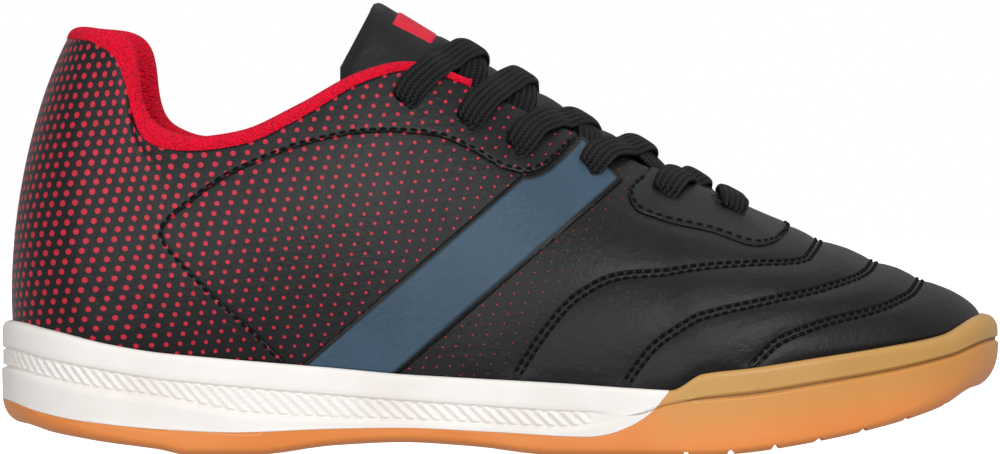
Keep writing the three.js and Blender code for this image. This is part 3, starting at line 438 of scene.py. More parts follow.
def smooth_path(points, step=0.25):
    """Evenly spaced points on a smooth curve through the given ones."""
    points = np.asarray(points, float)
    walked = walk(points)
    tangent = np.gradient(points, walked, axis=0)
    count = max(int(walked[-1] / step), 4)
    t = np.linspace(0, walked[-1], count * 4)
    i = np.clip(np.searchsorted(walked, t, side="right") - 1, 0, len(walked) - 2)
    h = (walked[i + 1] - walked[i])[:, None]
    f = ((t - walked[i]) / h[:, 0])[:, None]
    g = 1 - f
    fine = points[i] * g * g * (1 + 2 * f) + points[i + 1] * f * f * (3 - 2 * f)
    fine = fine + tangent[i] * h * f * g * g - tangent[i + 1] * h * f * f * g
    walked = walk(fine)
    even = np.linspace(0, walked[-1], count)
    return np.stack([np.interp(even, walked, fine[:, k]) for k in range(fine.shape[1])], 1)


# Shader building
class Shader:
    """Node tree of one material, built by short calls."""

    def __init__(self, name):
        self.material = bpy.data.materials.new(name)
        self.material.use_nodes = True
        self.nodes = self.material.node_tree.nodes
        self.links = self.material.node_tree.links
        self.nodes.clear()
        output = self.nodes.new("ShaderNodeOutputMaterial")
        self.surface = self.nodes.new("ShaderNodeBsdfPrincipled")
        self.links.new(self.surface.outputs["BSDF"], output.inputs["Surface"])
        self.spot = self.nodes.new("ShaderNodeTexCoord").outputs["Object"]

    def put(self, socket, value):
        if isinstance(value, bpy.types.NodeSocket):
            self.links.new(value, socket)
        elif isinstance(value, (tuple, list)) and len(value) == 3 and socket.type == "RGBA":
            socket.default_value = (*value, 1)
        else:
            socket.default_value = value

    def node(self, kind, output=0, settings=(), **inputs):
        made = self.nodes.new(kind)
        for key, value in settings:
            setattr(made, key, value)
        for key, value in inputs.items():
            self.put(made.inputs[key.replace("_", " ")], value)
        return made.outputs[output]

    def parts(self, vector):
        made = self.nodes.new("ShaderNodeSeparateXYZ")
        self.links.new(vector, made.inputs[0])
        return made.outputs

    def uv(self, layer):
        return self.node("ShaderNodeUVMap", settings=[("uv_map", layer)])

    def math(self, operation, a, b=0.0, c=0.0):
        made = self.nodes.new("ShaderNodeMath")
        made.operation = operation
        for socket, value in zip(made.inputs, (a, b, c)):
            self.put(socket, value)
        return made.outputs[0]

    def dot(self, vector, way):
        made = self.nodes.new("ShaderNodeVectorMath")
        made.operation = "DOT_PRODUCT"
        self.links.new(vector, made.inputs[0])
        made.inputs[1].default_value = way
        return made.outputs["Value"]

    def step(self, value, low, high, to_low=0.0, to_high=1.0):
        made = self.nodes.new("ShaderNodeMapRange")
        made.interpolation_type = "SMOOTHSTEP"
        for socket, number in zip(made.inputs, (value, low, high, to_low, to_high)):
            self.put(socket, number)
        return made.outputs[0]

    def mix(self, share, a, b):
        made = self.nodes.new("ShaderNodeMix")
        made.data_type = "RGBA"
        self.put(made.inputs[0], share)
        self.put(made.inputs[6], a)
        self.put(made.inputs[7], b)
        return made.outputs[2]

    def noise(self, scale, detail=3.0, roughness=0.5):
        return self.node(
            "ShaderNodeTexNoise", Scale=scale, Detail=detail, Roughness=roughness, Vector=self.spot
        )

    def cells(self, scale, randomness=1.0):
        return self.node("ShaderNodeTexVoronoi", Scale=scale, Randomness=randomness, Vector=self.spot)

    def mottled(self, tone, base, darker, lighter, low=0.3, high=0.7):
        """The base colour, a little darker and lighter in soft patches."""
        dark = tuple(v * darker for v in base)
        light = tuple(min(v * lighter, 1) for v in base)
        return self.mix(self.step(tone, low, high), dark, light)

    def bump(self, height, strength, distance, under=None):
        made = self.nodes.new("ShaderNodeBump")
        made.inputs["Strength"].default_value = strength
        made.inputs["Distance"].default_value = distance
        self.links.new(height, made.inputs["Height"])
        if under is not None:
            self.links.new(under, made.inputs["Normal"])
        return made.outputs[0]

    def finish(self, color, roughness, normal=None, **numbers):
        self.put(self.surface.inputs["Base Color"], color)
        self.put(self.surface.inputs["Roughness"], roughness)
        if normal is not None:
            self.put(self.surface.inputs["Normal"], normal)
        for key, value in numbers.items():
            self.put(self.surface.inputs[key.replace("_", " ")], value)
        return self.material


def rgb(red, green, blue):
    """Linear colour from the usual 0 to 255 numbers."""
    values = [v / 255 for v in (red, green, blue)]
    return tuple(v / 12.92 if v <= 0.04045 else ((v + 0.055) / 1.055) ** 2.4 for v in values)


# The dots stand in leaning rows, one at each cell's corner and one in its middle
DOT_WAYS = [(0.945, 0.328, 0), (0.328, -0.945, 0)]
DOT_PITCH = (5.41, 2.255)
DOT_LARGEST = 0.68
# Radius of the dots: its gain for each metre forward and upward, and its value in the middle
DOT_FALL = (-5.03, 3.45, 0.044)
DOT_RED = rgb(204, 34, 60)


def leather(name, base, dotted=False, seamed=False, bordered=False, grain=1.0):
    """Grained leather. The edge map holds the distance to a seam or to the rim."""
    s = Shader(name)
    tone = s.noise(38, 4)
    color = s.mottled(tone, base, 0.84, 1.14, high=0.72)
    rough = s.step(tone, 0.25, 0.75, 0.38, 0.48)
    if dotted:
        flat = s.uv("flat")
        distances = []
        turned = [s.dot(flat, way) for way in DOT_WAYS]
        for shift in (0.0, 0.5):
            squares = []
            for place, pitch in zip(turned, DOT_PITCH):
                cell = s.math("FRACT", s.math("ADD", s.math("DIVIDE", place, pitch * 0.001), shift))
                side = s.math("MULTIPLY", s.math("SUBTRACT", cell, 0.5), pitch)
                squares.append(s.math("MULTIPLY", side, side))
            distances.append(s.math("SQRT", s.math("ADD", squares[0], squares[1])))
        nearest_dot = s.math("MINIMUM", distances[0], distances[1])
        spot = s.parts(s.spot)
        forward, upward, middle = DOT_FALL
        fall = s.math("MULTIPLY_ADD", spot[0], forward, s.math("MULTIPLY_ADD", spot[2], upward, middle))
        radius = s.math("MAXIMUM", s.math("MINIMUM", fall, DOT_LARGEST), 0.0)
        mask = s.step(s.math("SUBTRACT", radius, nearest_dot), -0.07, 0.09)
        mask = s.math("MULTIPLY", mask, s.step(radius, 0.05, 0.12))
        worn = s.step(s.noise(1500, 2), 0.3, 0.7, 0.82, 1.0)
        color = s.mix(s.math("MULTIPLY", mask, worn), color, DOT_RED)
    normal = s.bump(s.noise(520, 5, roughness=0.66), 0.4 * grain, 0.0006)
    normal = s.bump(s.cells(1700), 0.1 * grain, 0.0002, normal)
    if seamed or bordered:
        edge = s.parts(s.uv("edge"))
        away = s.math("ABSOLUTE", edge[0])
    if seamed:
        off = s.math("ABSOLUTE", s.math("SUBTRACT", away, 0.00062))
        hollow = s.math("MULTIPLY", s.step(off, 0.0, 0.00055, 1.0, 0.0), s.math("MULTIPLY", edge[1], 1000))
        # Painted shade: the seam's trough is darkened towards near black, as if shade lay in it; its relief
        # comes from the bump below
        color = s.mix(s.math("MULTIPLY", hollow, 0.2), color, rgb(8, 8, 9))
        normal = s.bump(s.math("SUBTRACT", 1.0, hollow), 0.6, 0.0004, normal)
    if bordered:
        rim = s.step(away, 0.0008, 0.0012, 1.0, 0.0)
        color = s.mix(rim, color, rgb(5, 6, 8))
        normal = s.bump(s.step(away, 0.0009, 0.0015), 0.8, 0.0004, normal)
    return s.finish(color, rough, normal, Specular_IOR_Level=0.28, Coat_Weight=0.03, Coat_Roughness=0.35)


def knit(name, base, shade):
    s = Shader(name)
    loops = s.cells(1800)
    tone = s.noise(700, 4)
    color = s.mix(s.step(loops, 0.2, 0.8), base, shade)
    color = s.mix(s.step(tone, 0.4, 0.75, 0.0, 0.4), color, shade)
    normal = s.bump(s.math("SUBTRACT", 1.0, loops), 1.0, 0.0008)
    normal = s.bump(tone, 0.6, 0.0007, normal)
    return s.finish(
        color, 0.95, normal, Specular_IOR_Level=0.2,
        Sheen_Weight=0.35, Sheen_Roughness=0.5, Sheen_Tint=(1, 0.05, 0.14),
    )


def cloth(name, base):
    s = Shader(name)
    weave = s.cells(1300, randomness=0.35)
    tone = s.noise(160, 3)
    color = s.mottled(tone, base, 0.8, 1.3)
    normal = s.bump(weave, 0.6, 0.0004)
    return s.finish(color, 0.93, normal, Sheen_Weight=0.15)


def braid(name):
    s = Shader(name)
    across, along = s.parts(s.uv("flat"))[:2]
    rib = s.math("SINE", s.math("MULTIPLY", across, 2 * math.pi / 0.00125))
    slope = s.math("MULTIPLY", s.math("PINGPONG", across, 0.00125), 0.9)
    thread = s.math("SINE", s.math("MULTIPLY", s.math("ADD", along, slope), 2 * math.pi / 0.00085))
    height = s.math("MULTIPLY_ADD", thread, 0.32, s.math("MULTIPLY", rib, 0.5))
    fuzz = s.noise(3200, 2)
    # Painted light and shade: the colour follows the braid's height, near black in the hollows between
    # threads as painted shade and grey on their crests as painted highlight
    shade = s.step(height, -0.7, 0.8)
    color = s.mix(shade, rgb(1, 1, 2), rgb(42, 41, 44))
    normal = s.bump(height, 1.0, 0.0005)
    normal = s.bump(fuzz, 0.3, 0.0002, normal)
    return s.finish(color, 0.7, normal, Specular_IOR_Level=0.25)


def gum(name):
    s = Shader(name)
    forward = s.parts(s.spot)[0]
    toned, level = s.parts(s.uv("flat"))[:2]
    tone = s.noise(30, 3)
    orange = s.mix(s.step(tone, 0.3, 0.7), rgb(228, 134, 62), rgb(234, 144, 74))
    ochre = s.mix(s.step(tone, 0.3, 0.7), rgb(208, 140, 68), rgb(214, 150, 77))
    tan = s.mix(s.step(tone, 0.3, 0.7), rgb(190, 142, 72), rgb(198, 152, 84))
    color = s.mix(s.step(level, -0.011, -0.001), orange, ochre)
    color = s.mix(s.step(level, -0.0004, 0.0008), color, tan)
    # Painted shade: a darker line along the groove under the toe's lip, on the forefoot only, as if shadow
    # lay in it
    groove = s.step(s.math("ABSOLUTE", level), 0.0002, 0.0006, 0.6, 0.0)
    groove = s.math("MULTIPLY", groove, s.step(forward, 0.038, 0.043))
    color = s.mix(groove, color, rgb(150, 92, 22))
    color = s.mix(toned, orange, color)
    fine = s.noise(900, 3)
    normal = s.bump(fine, 0.12, 0.0003)
    return s.finish(
        color, s.step(tone, 0.3, 0.7, 0.34, 0.44), normal,
        Subsurface_Weight=0.18, Subsurface_Radius=(0.004, 0.0018, 0.0007), Subsurface_Scale=0.6,
        Specular_IOR_Level=0.5,
    )


def foam(name):
    s = Shader(name)
    tone = s.noise(60, 4)
    color = s.mix(s.step(tone, 0.3, 0.75), rgb(244, 240, 236), rgb(236, 230, 225))
    pores = s.noise(1900, 3)
    normal = s.bump(pores, 0.22, 0.0002)
    return s.finish(
        color, 0.56, normal,
        Subsurface_Weight=0.1, Subsurface_Radius=(0.002, 0.0015, 0.0012), Subsurface_Scale=0.5,
    )


def glowing(name, base, **numbers):
    """White that shines evenly, for what stands round the shoe."""
    return Shader(name).finish(base, **numbers, Emission_Color=(1, 1, 1), Emission_Strength=1.0)


def thread(name, base):
    s = Shader(name)
    twist = s.cells(3800)
    return s.finish(base, 0.8, s.bump(twist, 0.5, 0.0002), Specular_IOR_Level=0.2)


BLACK = rgb(21, 20, 23)
leather_dots = leather("leather_dotted", BLACK, dotted=True)
leather_vamp = leather("leather_vamp", BLACK, dotted=True, seamed=True)
leather_plain = leather("leather_black", BLACK)
leather_slate = leather("leather_slate", rgb(56, 79, 97), bordered=True, grain=1.2)
knit_red = knit("knit_red", rgb(255, 16, 58), rgb(238, 3, 40))
cloth_black = cloth("cloth_black", rgb(34, 34, 37))
# Painted highlight: the walls of the eyelets get a light grey cloth, which stands in for glints at the
# holes' edges
eyelet_glint = cloth("cloth_eyelet_glint", rgb(96, 94, 92))
label_red = leather("label_smooth", rgb(214, 22, 48), grain=0.5)
lace_black = braid("lace_braid")
gum_rubber = gum("rubber_gum")
white_foam = foam("foam_white")
thread_black = thread("thread_black", rgb(2, 2, 2))


# Sole
RIB_HEIGHT = 1.0
# Number of ribs up to each length walked from the heel, and how far they lean
RIB_WALK = [0, 60, 200]
RIB_COUNT = [0, 24, 74.4]
RIB_LEAN = 0.4
GROOVE_DEPTH = 1.0
GROOVE_WIDTH = 1.4
GROOVE_PITCH = 9.7
# Grooved stretches: shares of the length, and how far the grooves stop from the rim.
# Below zero they run out through it.
STRETCHES = [(0.09, 0.31, 7), (0.501, 0.65, 7), (0.683, 0.97, -5)]


def groove_mask(x, edge):
    """1 in a tread groove and 0 on a block. Edge is the distance to the rim in plan."""
    mask = np.zeros(np.shape(x))
    for start, end, margin in STRETCHES:
        count = int((end - start) * LENGTH / GROOVE_PITCH)
        for i in range(count + 1):
            near = np.abs(x - start * LENGTH - i * GROOVE_PITCH)
            ends = soft(margin - 0.5, margin + 0.5, edge) if margin > 0 else 1.0
            mask = np.maximum(mask, soft(GROOVE_WIDTH / 2 + 0.2, GROOVE_WIDTH / 2 - 0.2, near) * ends)
    return mask


def side_inset(c, z):
    """Inset of the sole's wall from the outline: the channel, its ribs and the rounded edges."""
    x = outline(c)[..., 0]
    low, high, rim, bottom = low_at(x), high_at(x), rim_at(x), bottom_at(x)
    depth = recess_at(x)
    edge = 0.35 - 0.12 * soft(0.6, 0.68, x / LENGTH)
    channel = soft(low - edge, low + edge, z) * soft(high + edge, high - edge, z)
    # On the gum the channel becomes the shallow groove of the toe's lip
    inset = depth * channel * (1 - 0.45 * soft(0.66, 0.71, x / LENGTH))
    inset = inset * (1 - soft(0.654, 0.664, x / LENGTH) * soft(0.7, 0.684, x / LENGTH))
    walked = np.abs(c) * np.where(c < 0, OUTLINE[0][3], OUTLINE[1][3])
    saw = (np.interp(walked, RIB_WALK, RIB_COUNT) + RIB_LEAN * (z - (low + high) / 2)) % 1.0
    ridge = soft(0.05, 0.5, saw) * soft(1.0, 0.72, saw)
    window = soft(low + 0.25, low + 0.7, z) * soft(high - 0.05, high - 0.5, z)
    inset = inset - RIB_HEIGHT * ridge * window * soft(0.61, 0.585, x / LENGTH) * soft(0.4, 1.1, depth)
    rise = np.clip((z - bottom) / under_up(x), 0, 1)
    inset = inset + under_in(x) * (1 - np.sqrt(1 - (1 - rise) ** 2))
    inset = inset + 0.4 * (1 - np.clip((z - bottom) / (low - bottom), 0, 1))
    top = np.clip((z - rim + over_down(x)) / over_down(x), 0, 1)
    inset = inset + over_in(x) * (1 - np.sqrt(np.maximum(1 - top**2, 0)))
    return inset + 0.15 * soft(high - 0.2, high + 0.3, z)


def side_heights(c):
    """Heights of the wall's rows, close together where its form turns."""
    x = outline(c)[:, 0]
    bottom, low, high, rim = bottom_at(x), low_at(x), high_at(x), rim_at(x)
    under, over = bottom + under_up(x), rim - over_down(x)
    rows = []

    def span(a, b, count, power=1.0):
        rows.extend(a + (b - a) * share for share in (np.arange(count) / count) ** power)

    span(bottom, under, 9, 1.8)
    span(under, low - 0.4, 6)
    span(low - 0.4, low + 0.9, 7)
    span(low + 0.9, high - 0.6, 5)
    span(high - 0.6, high + 0.4, 6)
    span(high + 0.4, over, 4)
    span(over, rim, 9, 0.6)
    rows.append(rim)
    return np.stack(rows, 1)


def round_places(fine, coarse, until):
    """Places all round the sole, fine up to a share of each side and coarse beyond."""
    half = np.concatenate([np.arange(0, until, fine), np.linspace(until, 1, int((1 - until) / coarse) + 1)])
    return np.concatenate([-half[::-1], half[1:-1]])


def sole_wall(c, z):
    """Points of the wall's outer face on columns c at heights z."""
    inset = side_inset(np.broadcast_to(c[:, None], z.shape), z)
    point, _ = plan(np.broadcast_to(c[:, None], z.shape), inset)
    return np.concatenate([point, z[..., None]], -1)


def ledge(c, inset, z):
    """One more row, at a fixed inset."""
    point, _ = plan(c, np.broadcast_to(inset, c.shape))
    return np.concatenate([point, np.broadcast_to(z, c.shape)[:, None]], -1)[:, None, :]


def make_midsole():
    """The pale wall, as far forward as it shows above the parting line."""
    half = np.arange(0, 0.66, 0.0012)
    c = np.concatenate([-half[::-1], half[1:]])
    x = outline(c)[:, 0]
    parting = parting_at(x) + 0.02
    c = c[parting < rim_at(x) - 0.05]
    x = outline(c)[:, 0]
    parting = parting_at(x) + 0.02
    rim = rim_at(x)
    z = np.maximum(side_heights(c), parting[:, None])
    z = np.minimum(z, rim[:, None])
    lip = lip_by_x(x)
    rows = [ledge(c, 7.0, parting), sole_wall(c, z), ledge(c, lip - 0.5, rim), ledge(c, lip, rim - 0.3)]
    rows.append(ledge(c, lip, np.maximum(floor_at(x), parting)))
    points = np.concatenate(rows, 1)
    faces = grid_faces(points.shape[0], points.shape[1])[:, ::-1]
    make_piece(
        "midsole_foam", points, faces, [white_foam], ["midsole"],
        uv=np.zeros((points.shape[0] * points.shape[1], 2)),
    )


def make_outsole():
    """The gum wall below the parting line, the toe's cup and the grooved tread."""
    c = round_places(0.0025, 0.0016, 0.52)
    x = outline(c)[:, 0]
    rim = rim_at(x)
    parting = parting_at(x) - 0.02
    top = np.where(x < 0.6745 * LENGTH, np.minimum(parting, rim), rim)
    z = side_heights(c)
    low_z = bottom_at(x) + GROOVE_DEPTH * groove_mask(x, 1.0)
    z = np.clip(z, np.minimum(low_z, top)[:, None], top[:, None])
    lip = lip_by_x(x)
    wall = sole_wall(c, z)
    wall[:, 0, :2] = sole_wall(c, bottom_at(x)[:, None])[:, 0, :2]
    full = top >= rim - 1e-6
    inner = np.where(full, lip - 0.5, 4.0)
    rows = [wall, ledge(c, inner, top), ledge(c, np.where(full, lip, 5.0), top - 0.3 * full)]
    rows.append(ledge(c, np.where(full, lip, 7.0), np.where(full, floor_at(x), top)))
    points = np.concatenate(rows, 1)
    count = points.shape[0] * points.shape[1]
    faces = [grid_faces(points.shape[0], points.shape[1], ring_rows=True)[:, ::-1]]
    # UV holds the share of ochre and tan, and the height over the groove between them
    level = points[..., 2] - ((low_at(x) + high_at(x)) / 2)[:, None]
    toned = np.broadcast_to(1000 * soft(0.63, 0.685, x / LENGTH)[:, None], level.shape)
    uv = [np.stack([toned, level], -1).reshape(-1, 2)]
    # Tread, from the wall's lowest row on one side to the other
    share = np.concatenate([np.linspace(0, 0.06, 16)[:-1], np.linspace(0.06, 1, 440)])
    across = np.linspace(0, 1, 41)
    ends = []
    for sign in (-1, 1):
        here = sign * share
        x = outline(here)[:, 0]
        bottom = bottom_at(x)
        ends.append(np.concatenate([ledge(here, side_inset(here, bottom), bottom)[:, 0, :], x[:, None]], 1))
    tread = ends[0][:, None, :] * (1 - across[None, :, None]) + ends[1][:, None, :] * across[None, :, None]
    edge = np.minimum(across, 1 - across)[None, :] * np.abs(ends[1][:, 1] - ends[0][:, 1])[:, None] + 3
    tread[..., 2] += GROOVE_DEPTH * groove_mask(tread[..., 3], edge)
    tread = tread[..., :3]
    faces.append(grid_faces(tread.shape[0], tread.shape[1], start=count))
    uv.append(np.full((tread.shape[0] * tread.shape[1], 2), (0.0, -15.0)))
    make_piece(
        "outsole_gum", np.concatenate([points.reshape(-1, 3), tread.reshape(-1, 3)]), np.concatenate(faces),
        [gum_rubber], ["outsole"], uv=np.concatenate(uv),
    )


make_midsole()
make_outsole()


INSOLE_THICK = 3.0
INSOLE_MARGIN = 0.8
INSOLE_DISH = 0.9


def make_insole():
    """The sockliner, rounded at its edge and hollowed under the heel."""
    share = np.linspace(0, 1, 160)
    rows = []
    for sign in (-1, 1):
        c = sign * share
        inset = lip_by_x(outline(c)[:, 0]) + 2 * GAP + WALL + INSOLE_MARGIN
        base = floor_at(outline(c)[:, 0]) + GAP
        edge = [(0, 0), (0, INSOLE_THICK - 0.8), (0.3, INSOLE_THICK - 0.3), (0.9, INSOLE_THICK)]
        rows.append(np.concatenate([ledge(c, inset + off, base + rise) for off, rise in edge], 1))
    across = np.linspace(0, 1, 25)[1:-1]
    a, b = rows[0][:, -1:, :], rows[1][:, -1:, :]
    top = a * (1 - across[None, :, None]) + b * across[None, :, None]
    dish = 1 - (2 * across[None, :] - 1) ** 2
    top[..., 2] -= INSOLE_DISH * dish * soft(0.45, 0.2, share)[:, None]
    points = np.concatenate([rows[0], top, rows[1][:, ::-1]], 1)
    faces = grid_faces(points.shape[0], points.shape[1])
    make_piece("sockliner", points, faces, [cloth_black], ["insole"])


make_insole()

# Seams of the upper as lines in the side view: share of the length and of BACK
QUARTER = np.array([
    (0.3, 0.1), (0.285, 0.222), (0.26, 0.287), (0.218, 0.38), (0.186, 0.458), (0.168, 0.51),
    (0.163, 0.535), (0.168, 0.56), (0.186, 0.598), (0.218, 0.657), (0.266, 0.715), (0.314, 0.755),
    (0.363, 0.777), (0.411, 0.777), (0.443, 0.766), (0.475, 0.731), (0.508, 0.689), (0.528, 0.682),
    (0.542, 0.693), (0.556, 0.72), (0.572, 0.757), (0.6, 0.85),
]) * [LENGTH, BACK]
FACING = np.array([
    (0.66, 0.72), (0.642, 0.672), (0.628, 0.64), (0.632, 0.604), (0.661, 0.57), (0.708, 0.543),
    (0.767, 0.511), (0.779, 0.524), (0.786, 0.557), (0.79, 0.65),
]) * [LENGTH, BACK]

# Seams of the vamp on one side, in millimetres from the heel and from the floor, and how
# far each bows forward on top
VAMP = [
    ([
        (110.44, 17.17), (115.19, 24.72), (122.09, 32.92), (130.50, 37.88), (140.64, 39.17),
        (154.44, 40.90), (168.25, 41.54), (172.35, 41.98),
    ], 3.0),
    ([
        (133.84, 15.77), (138.70, 22.56), (147.54, 28.82), (161.35, 32.70), (175.15, 35.72),
        (182.05, 37.88), (185.72, 39.60),
    ], 1.6),
    ([
        (160.70, 19.22), (164.80, 23.43), (175.15, 28.17), (188.96, 31.95), (195.21, 34.86),
    ], 2.0),
]


class Finder:
    """Finds c and v on a part of the upper for places in the side view or in plan."""

    def __init__(self, low, high, axes):
        self.axes = axes
        self.c = np.linspace(low, high, 500)
        self.v = np.linspace(0, 1, 170)
        around = np.where(self.c > 1, self.c - 2, self.c)
        flat = upper_face(around[:, None], self.v[None, :])[..., axes].reshape(-1, 2)
        self.tree = tree_of(np.stack([flat[:, 0], flat[:, 1], np.zeros(len(flat))], 1))

    def line(self, path):
        found = [self.tree.find((a, b, 0))[1] for a, b in path]
        places = np.array([(self.c[i // len(self.v)], self.v[i % len(self.v)]) for i in found])
        for _ in range(6):
            places[1:-1] = (places[:-2] + 2 * places[1:-1] + places[2:]) / 4
        return places


def tree_of(points):
    tree = KDTree(len(points))
    for i, p in enumerate(points):
        tree.insert(p, i)
    tree.balance()
    return tree


finders = {-1: Finder(-1, 0, [0, 2]), 1: Finder(0, 1, [0, 2])}
top_finder = Finder(0.55, 1.45, [0, 1])
SEAM_STEP = 0.5


def seam_on_side(line, sign):
    """(c, v) places along a side-view line."""
    return finders[sign].line(smooth_path(line, SEAM_STEP))


def seam_over_top(line, bow):
    """(c, v) places along a side-view line, over the vamp and down the other side."""
    lateral = seam_on_side(line, -1)
    medial = seam_on_side(line, 1)[::-1]
    near, far = upper_face(*np.stack([lateral[-1], medial[0]], 1))[:, :2]
    share = np.linspace(0, 1, int((far[1] - near[1]) / SEAM_STEP) + 4)[1:-1]
    path = near + (far - near) * share[:, None]
    path[:, 0] += bow * (1 - (2 * share - 1) ** 2)
    over = top_finder.line(path)
    lateral[:, 0] += 2
    joined = np.concatenate([lateral, over, medial])
    for _ in range(10):
        joined[1:-1] = (joined[:-2] + 2 * joined[1:-1] + joined[2:]) / 4
    return joined


def evened(places, depth=0.0):
    """Even points in space along (c, v) places, with the directions of the face."""
    c, v = places[:, 0], places[:, 1]
    point = upper_face(np.where(c > 1, c - 2, c), v)
    walked = walk(point)
    keep = np.concatenate([[True], np.diff(walked) > 1e-6])
    even = np.arange(0, walked[-1], 0.8 * SEAM_STEP)
    c = np.interp(even, walked[keep], c[keep])
    v = np.interp(even, walked[keep], v[keep])
    return upper_place(np.where(c > 1, c - 2, c), v, depth)


def beside(places, off, depth=0.0):
    """The same line moved sideways by off on the face."""
    point, out, _ = evened(places, depth)
    way = unit(np.gradient(point, axis=0))
    return point + unit(np.cross(out, way)) * off, out


vamp_seams = [seam_over_top(line, bow) for line, bow in VAMP]
quarter_seams = {sign: seam_on_side(QUARTER[1:-1], sign) for sign in (-1, 1)}
facing_seams = {sign: seam_on_side(FACING[1:-1], sign) for sign in (-1, 1)}


def beside_vamp_seam(points):
    """Distance of each point to the nearest seam of the vamp, signed by its side."""
    places, sides = [], []
    for seam in vamp_seams:
        place, out, _ = evened(seam)
        places.append(place)
        sides.append(unit(np.cross(out, unit(np.gradient(place, axis=0)))))
    places, sides = np.concatenate(places), np.concatenate(sides)
    tree = tree_of(places)
    found = [tree.find(p)[1:] for p in points]
    index = np.array([f[0] for f in found])
    away = np.array([f[1] for f in found])
    side = ((points - places[index]) * sides[index]).sum(-1)
    return np.sign(side) * np.where(away < 2.5, np.maximum(np.abs(side), away - 0.2), away)


eyelet_c = np.array([sign * at for at, _ in EYELETS for sign in (-1, 1)])
eyelet_down = np.array([[below * LACE_WIDE] for _, below in EYELETS for _ in (-1, 1)])
eyelet_spot, eyelet_out, _ = from_mouth(eyelet_c, eyelet_down)
eyelet_spot, eyelet_out = eyelet_spot[:, 0], eyelet_out[:, 0]


def signed_side(line, points):
    """Distance to a closed side-view polygon, above zero inside it."""
    x, z = points[..., 0], points[..., 2]
    a = line
    b = np.roll(line, -1, axis=0)
    best = np.full(x.shape, 1e9)
    inside = np.zeros(x.shape, bool)
    for (ax, az), (bx, bz) in zip(a, b):
        dx, dz = bx - ax, bz - az
        t = np.clip(((x - ax) * dx + (z - az) * dz) / max(dx * dx + dz * dz, 1e-9), 0, 1)
        best = np.minimum(best, np.hypot(x - ax - t * dx, z - az - t * dz))
        if bz != az:
            cross = (az > z) != (bz > z)
            inside ^= cross & (x < ax + (z - az) * dx / dz)
    return np.where(inside, best, -best)


quarter_line = smooth_path(QUARTER, 1.0)
QUARTER_REGION = np.concatenate([quarter_line, [(130, 200), (-60, 200), (-60, 0)]])
facing_line = smooth_path(FACING, 1.0)
BAND_WIDE = 15.0
BAND_FOOT = np.array([0.3 * LENGTH, 0.1 * BACK])
BAND_HEAD = np.array([0.6 * LENGTH, 0.73 * BACK])
band_way = unit(BAND_HEAD - BAND_FOOT)
band_off = np.array([-band_way[1], band_way[0]]) * BAND_WIDE / 2
BAND_REGION = np.array([
    BAND_FOOT + band_off, BAND_HEAD + band_off, BAND_HEAD - band_off, BAND_FOOT - band_off,
])


def quarter_keep(points):
    return signed_side(QUARTER_REGION, points)


def facing_keep(points):
    return signed_side(facing_line, points)


def band_keep(points):
    return np.minimum(signed_side(BAND_REGION, points), -quarter_keep(points) - 0.5)


# UV of the upper: length round the shoe at half height, and height
girth_c = np.linspace(-1, 1, 801)
girth_line = upper_face(girth_c, 0.5)
girth = walk(girth_line[:, :2])
girth = girth - np.interp(0, girth_c, girth)


def skin(c, v, depth):
    """Points and UV of the face on a grid of columns and rows."""
    c = np.where(c > 1, c - 2, c)
    point, out, _ = upper_place(c[:, None], v[None, :], depth)
    along = np.broadcast_to(np.interp(c, girth_c, girth)[:, None], point.shape[:2])
    return point, out, np.stack([along, point[..., 2]], -1)


def holes_keep(points, radius=EYELET):
    """Above zero outside every eyelet."""
    keep = np.full(len(points), 1e9)
    for spot, out in zip(eyelet_spot, eyelet_out):
        off = points - spot
        along = off @ out
        away = np.linalg.norm(off - along[:, None] * out, axis=1)
        keep = np.minimum(keep, np.where(np.abs(along) < 6, away - radius, 1e9))
    return keep


def tube_rings(depth_out, depth_in):
    """The walls of the eyelets, as one mesh."""
    turn = np.linspace(0, 2 * math.pi, 24, endpoint=False)
    points = []
    faces = []
    for spot, out in zip(eyelet_spot, eyelet_out):
        first = unit(np.cross(out, np.array([0.3, 0.1, 1.0])))
        second = np.cross(out, first)
        ring = first * np.cos(turn)[:, None] + second * np.sin(turn)[:, None]
        start = sum(len(p) for p in points)
        for reach, wide in ((depth_out, EYELET + 0.12), (depth_out + 0.1, EYELET), (depth_in, EYELET)):
            points.append(spot + ring * wide - out * reach)
        faces.append(grid_faces(3, 24, ring_columns=True, start=start))
    return np.concatenate(points), np.concatenate(faces)


SEAM_SUNK = 0.5
SEAM_SWELL = 0.3


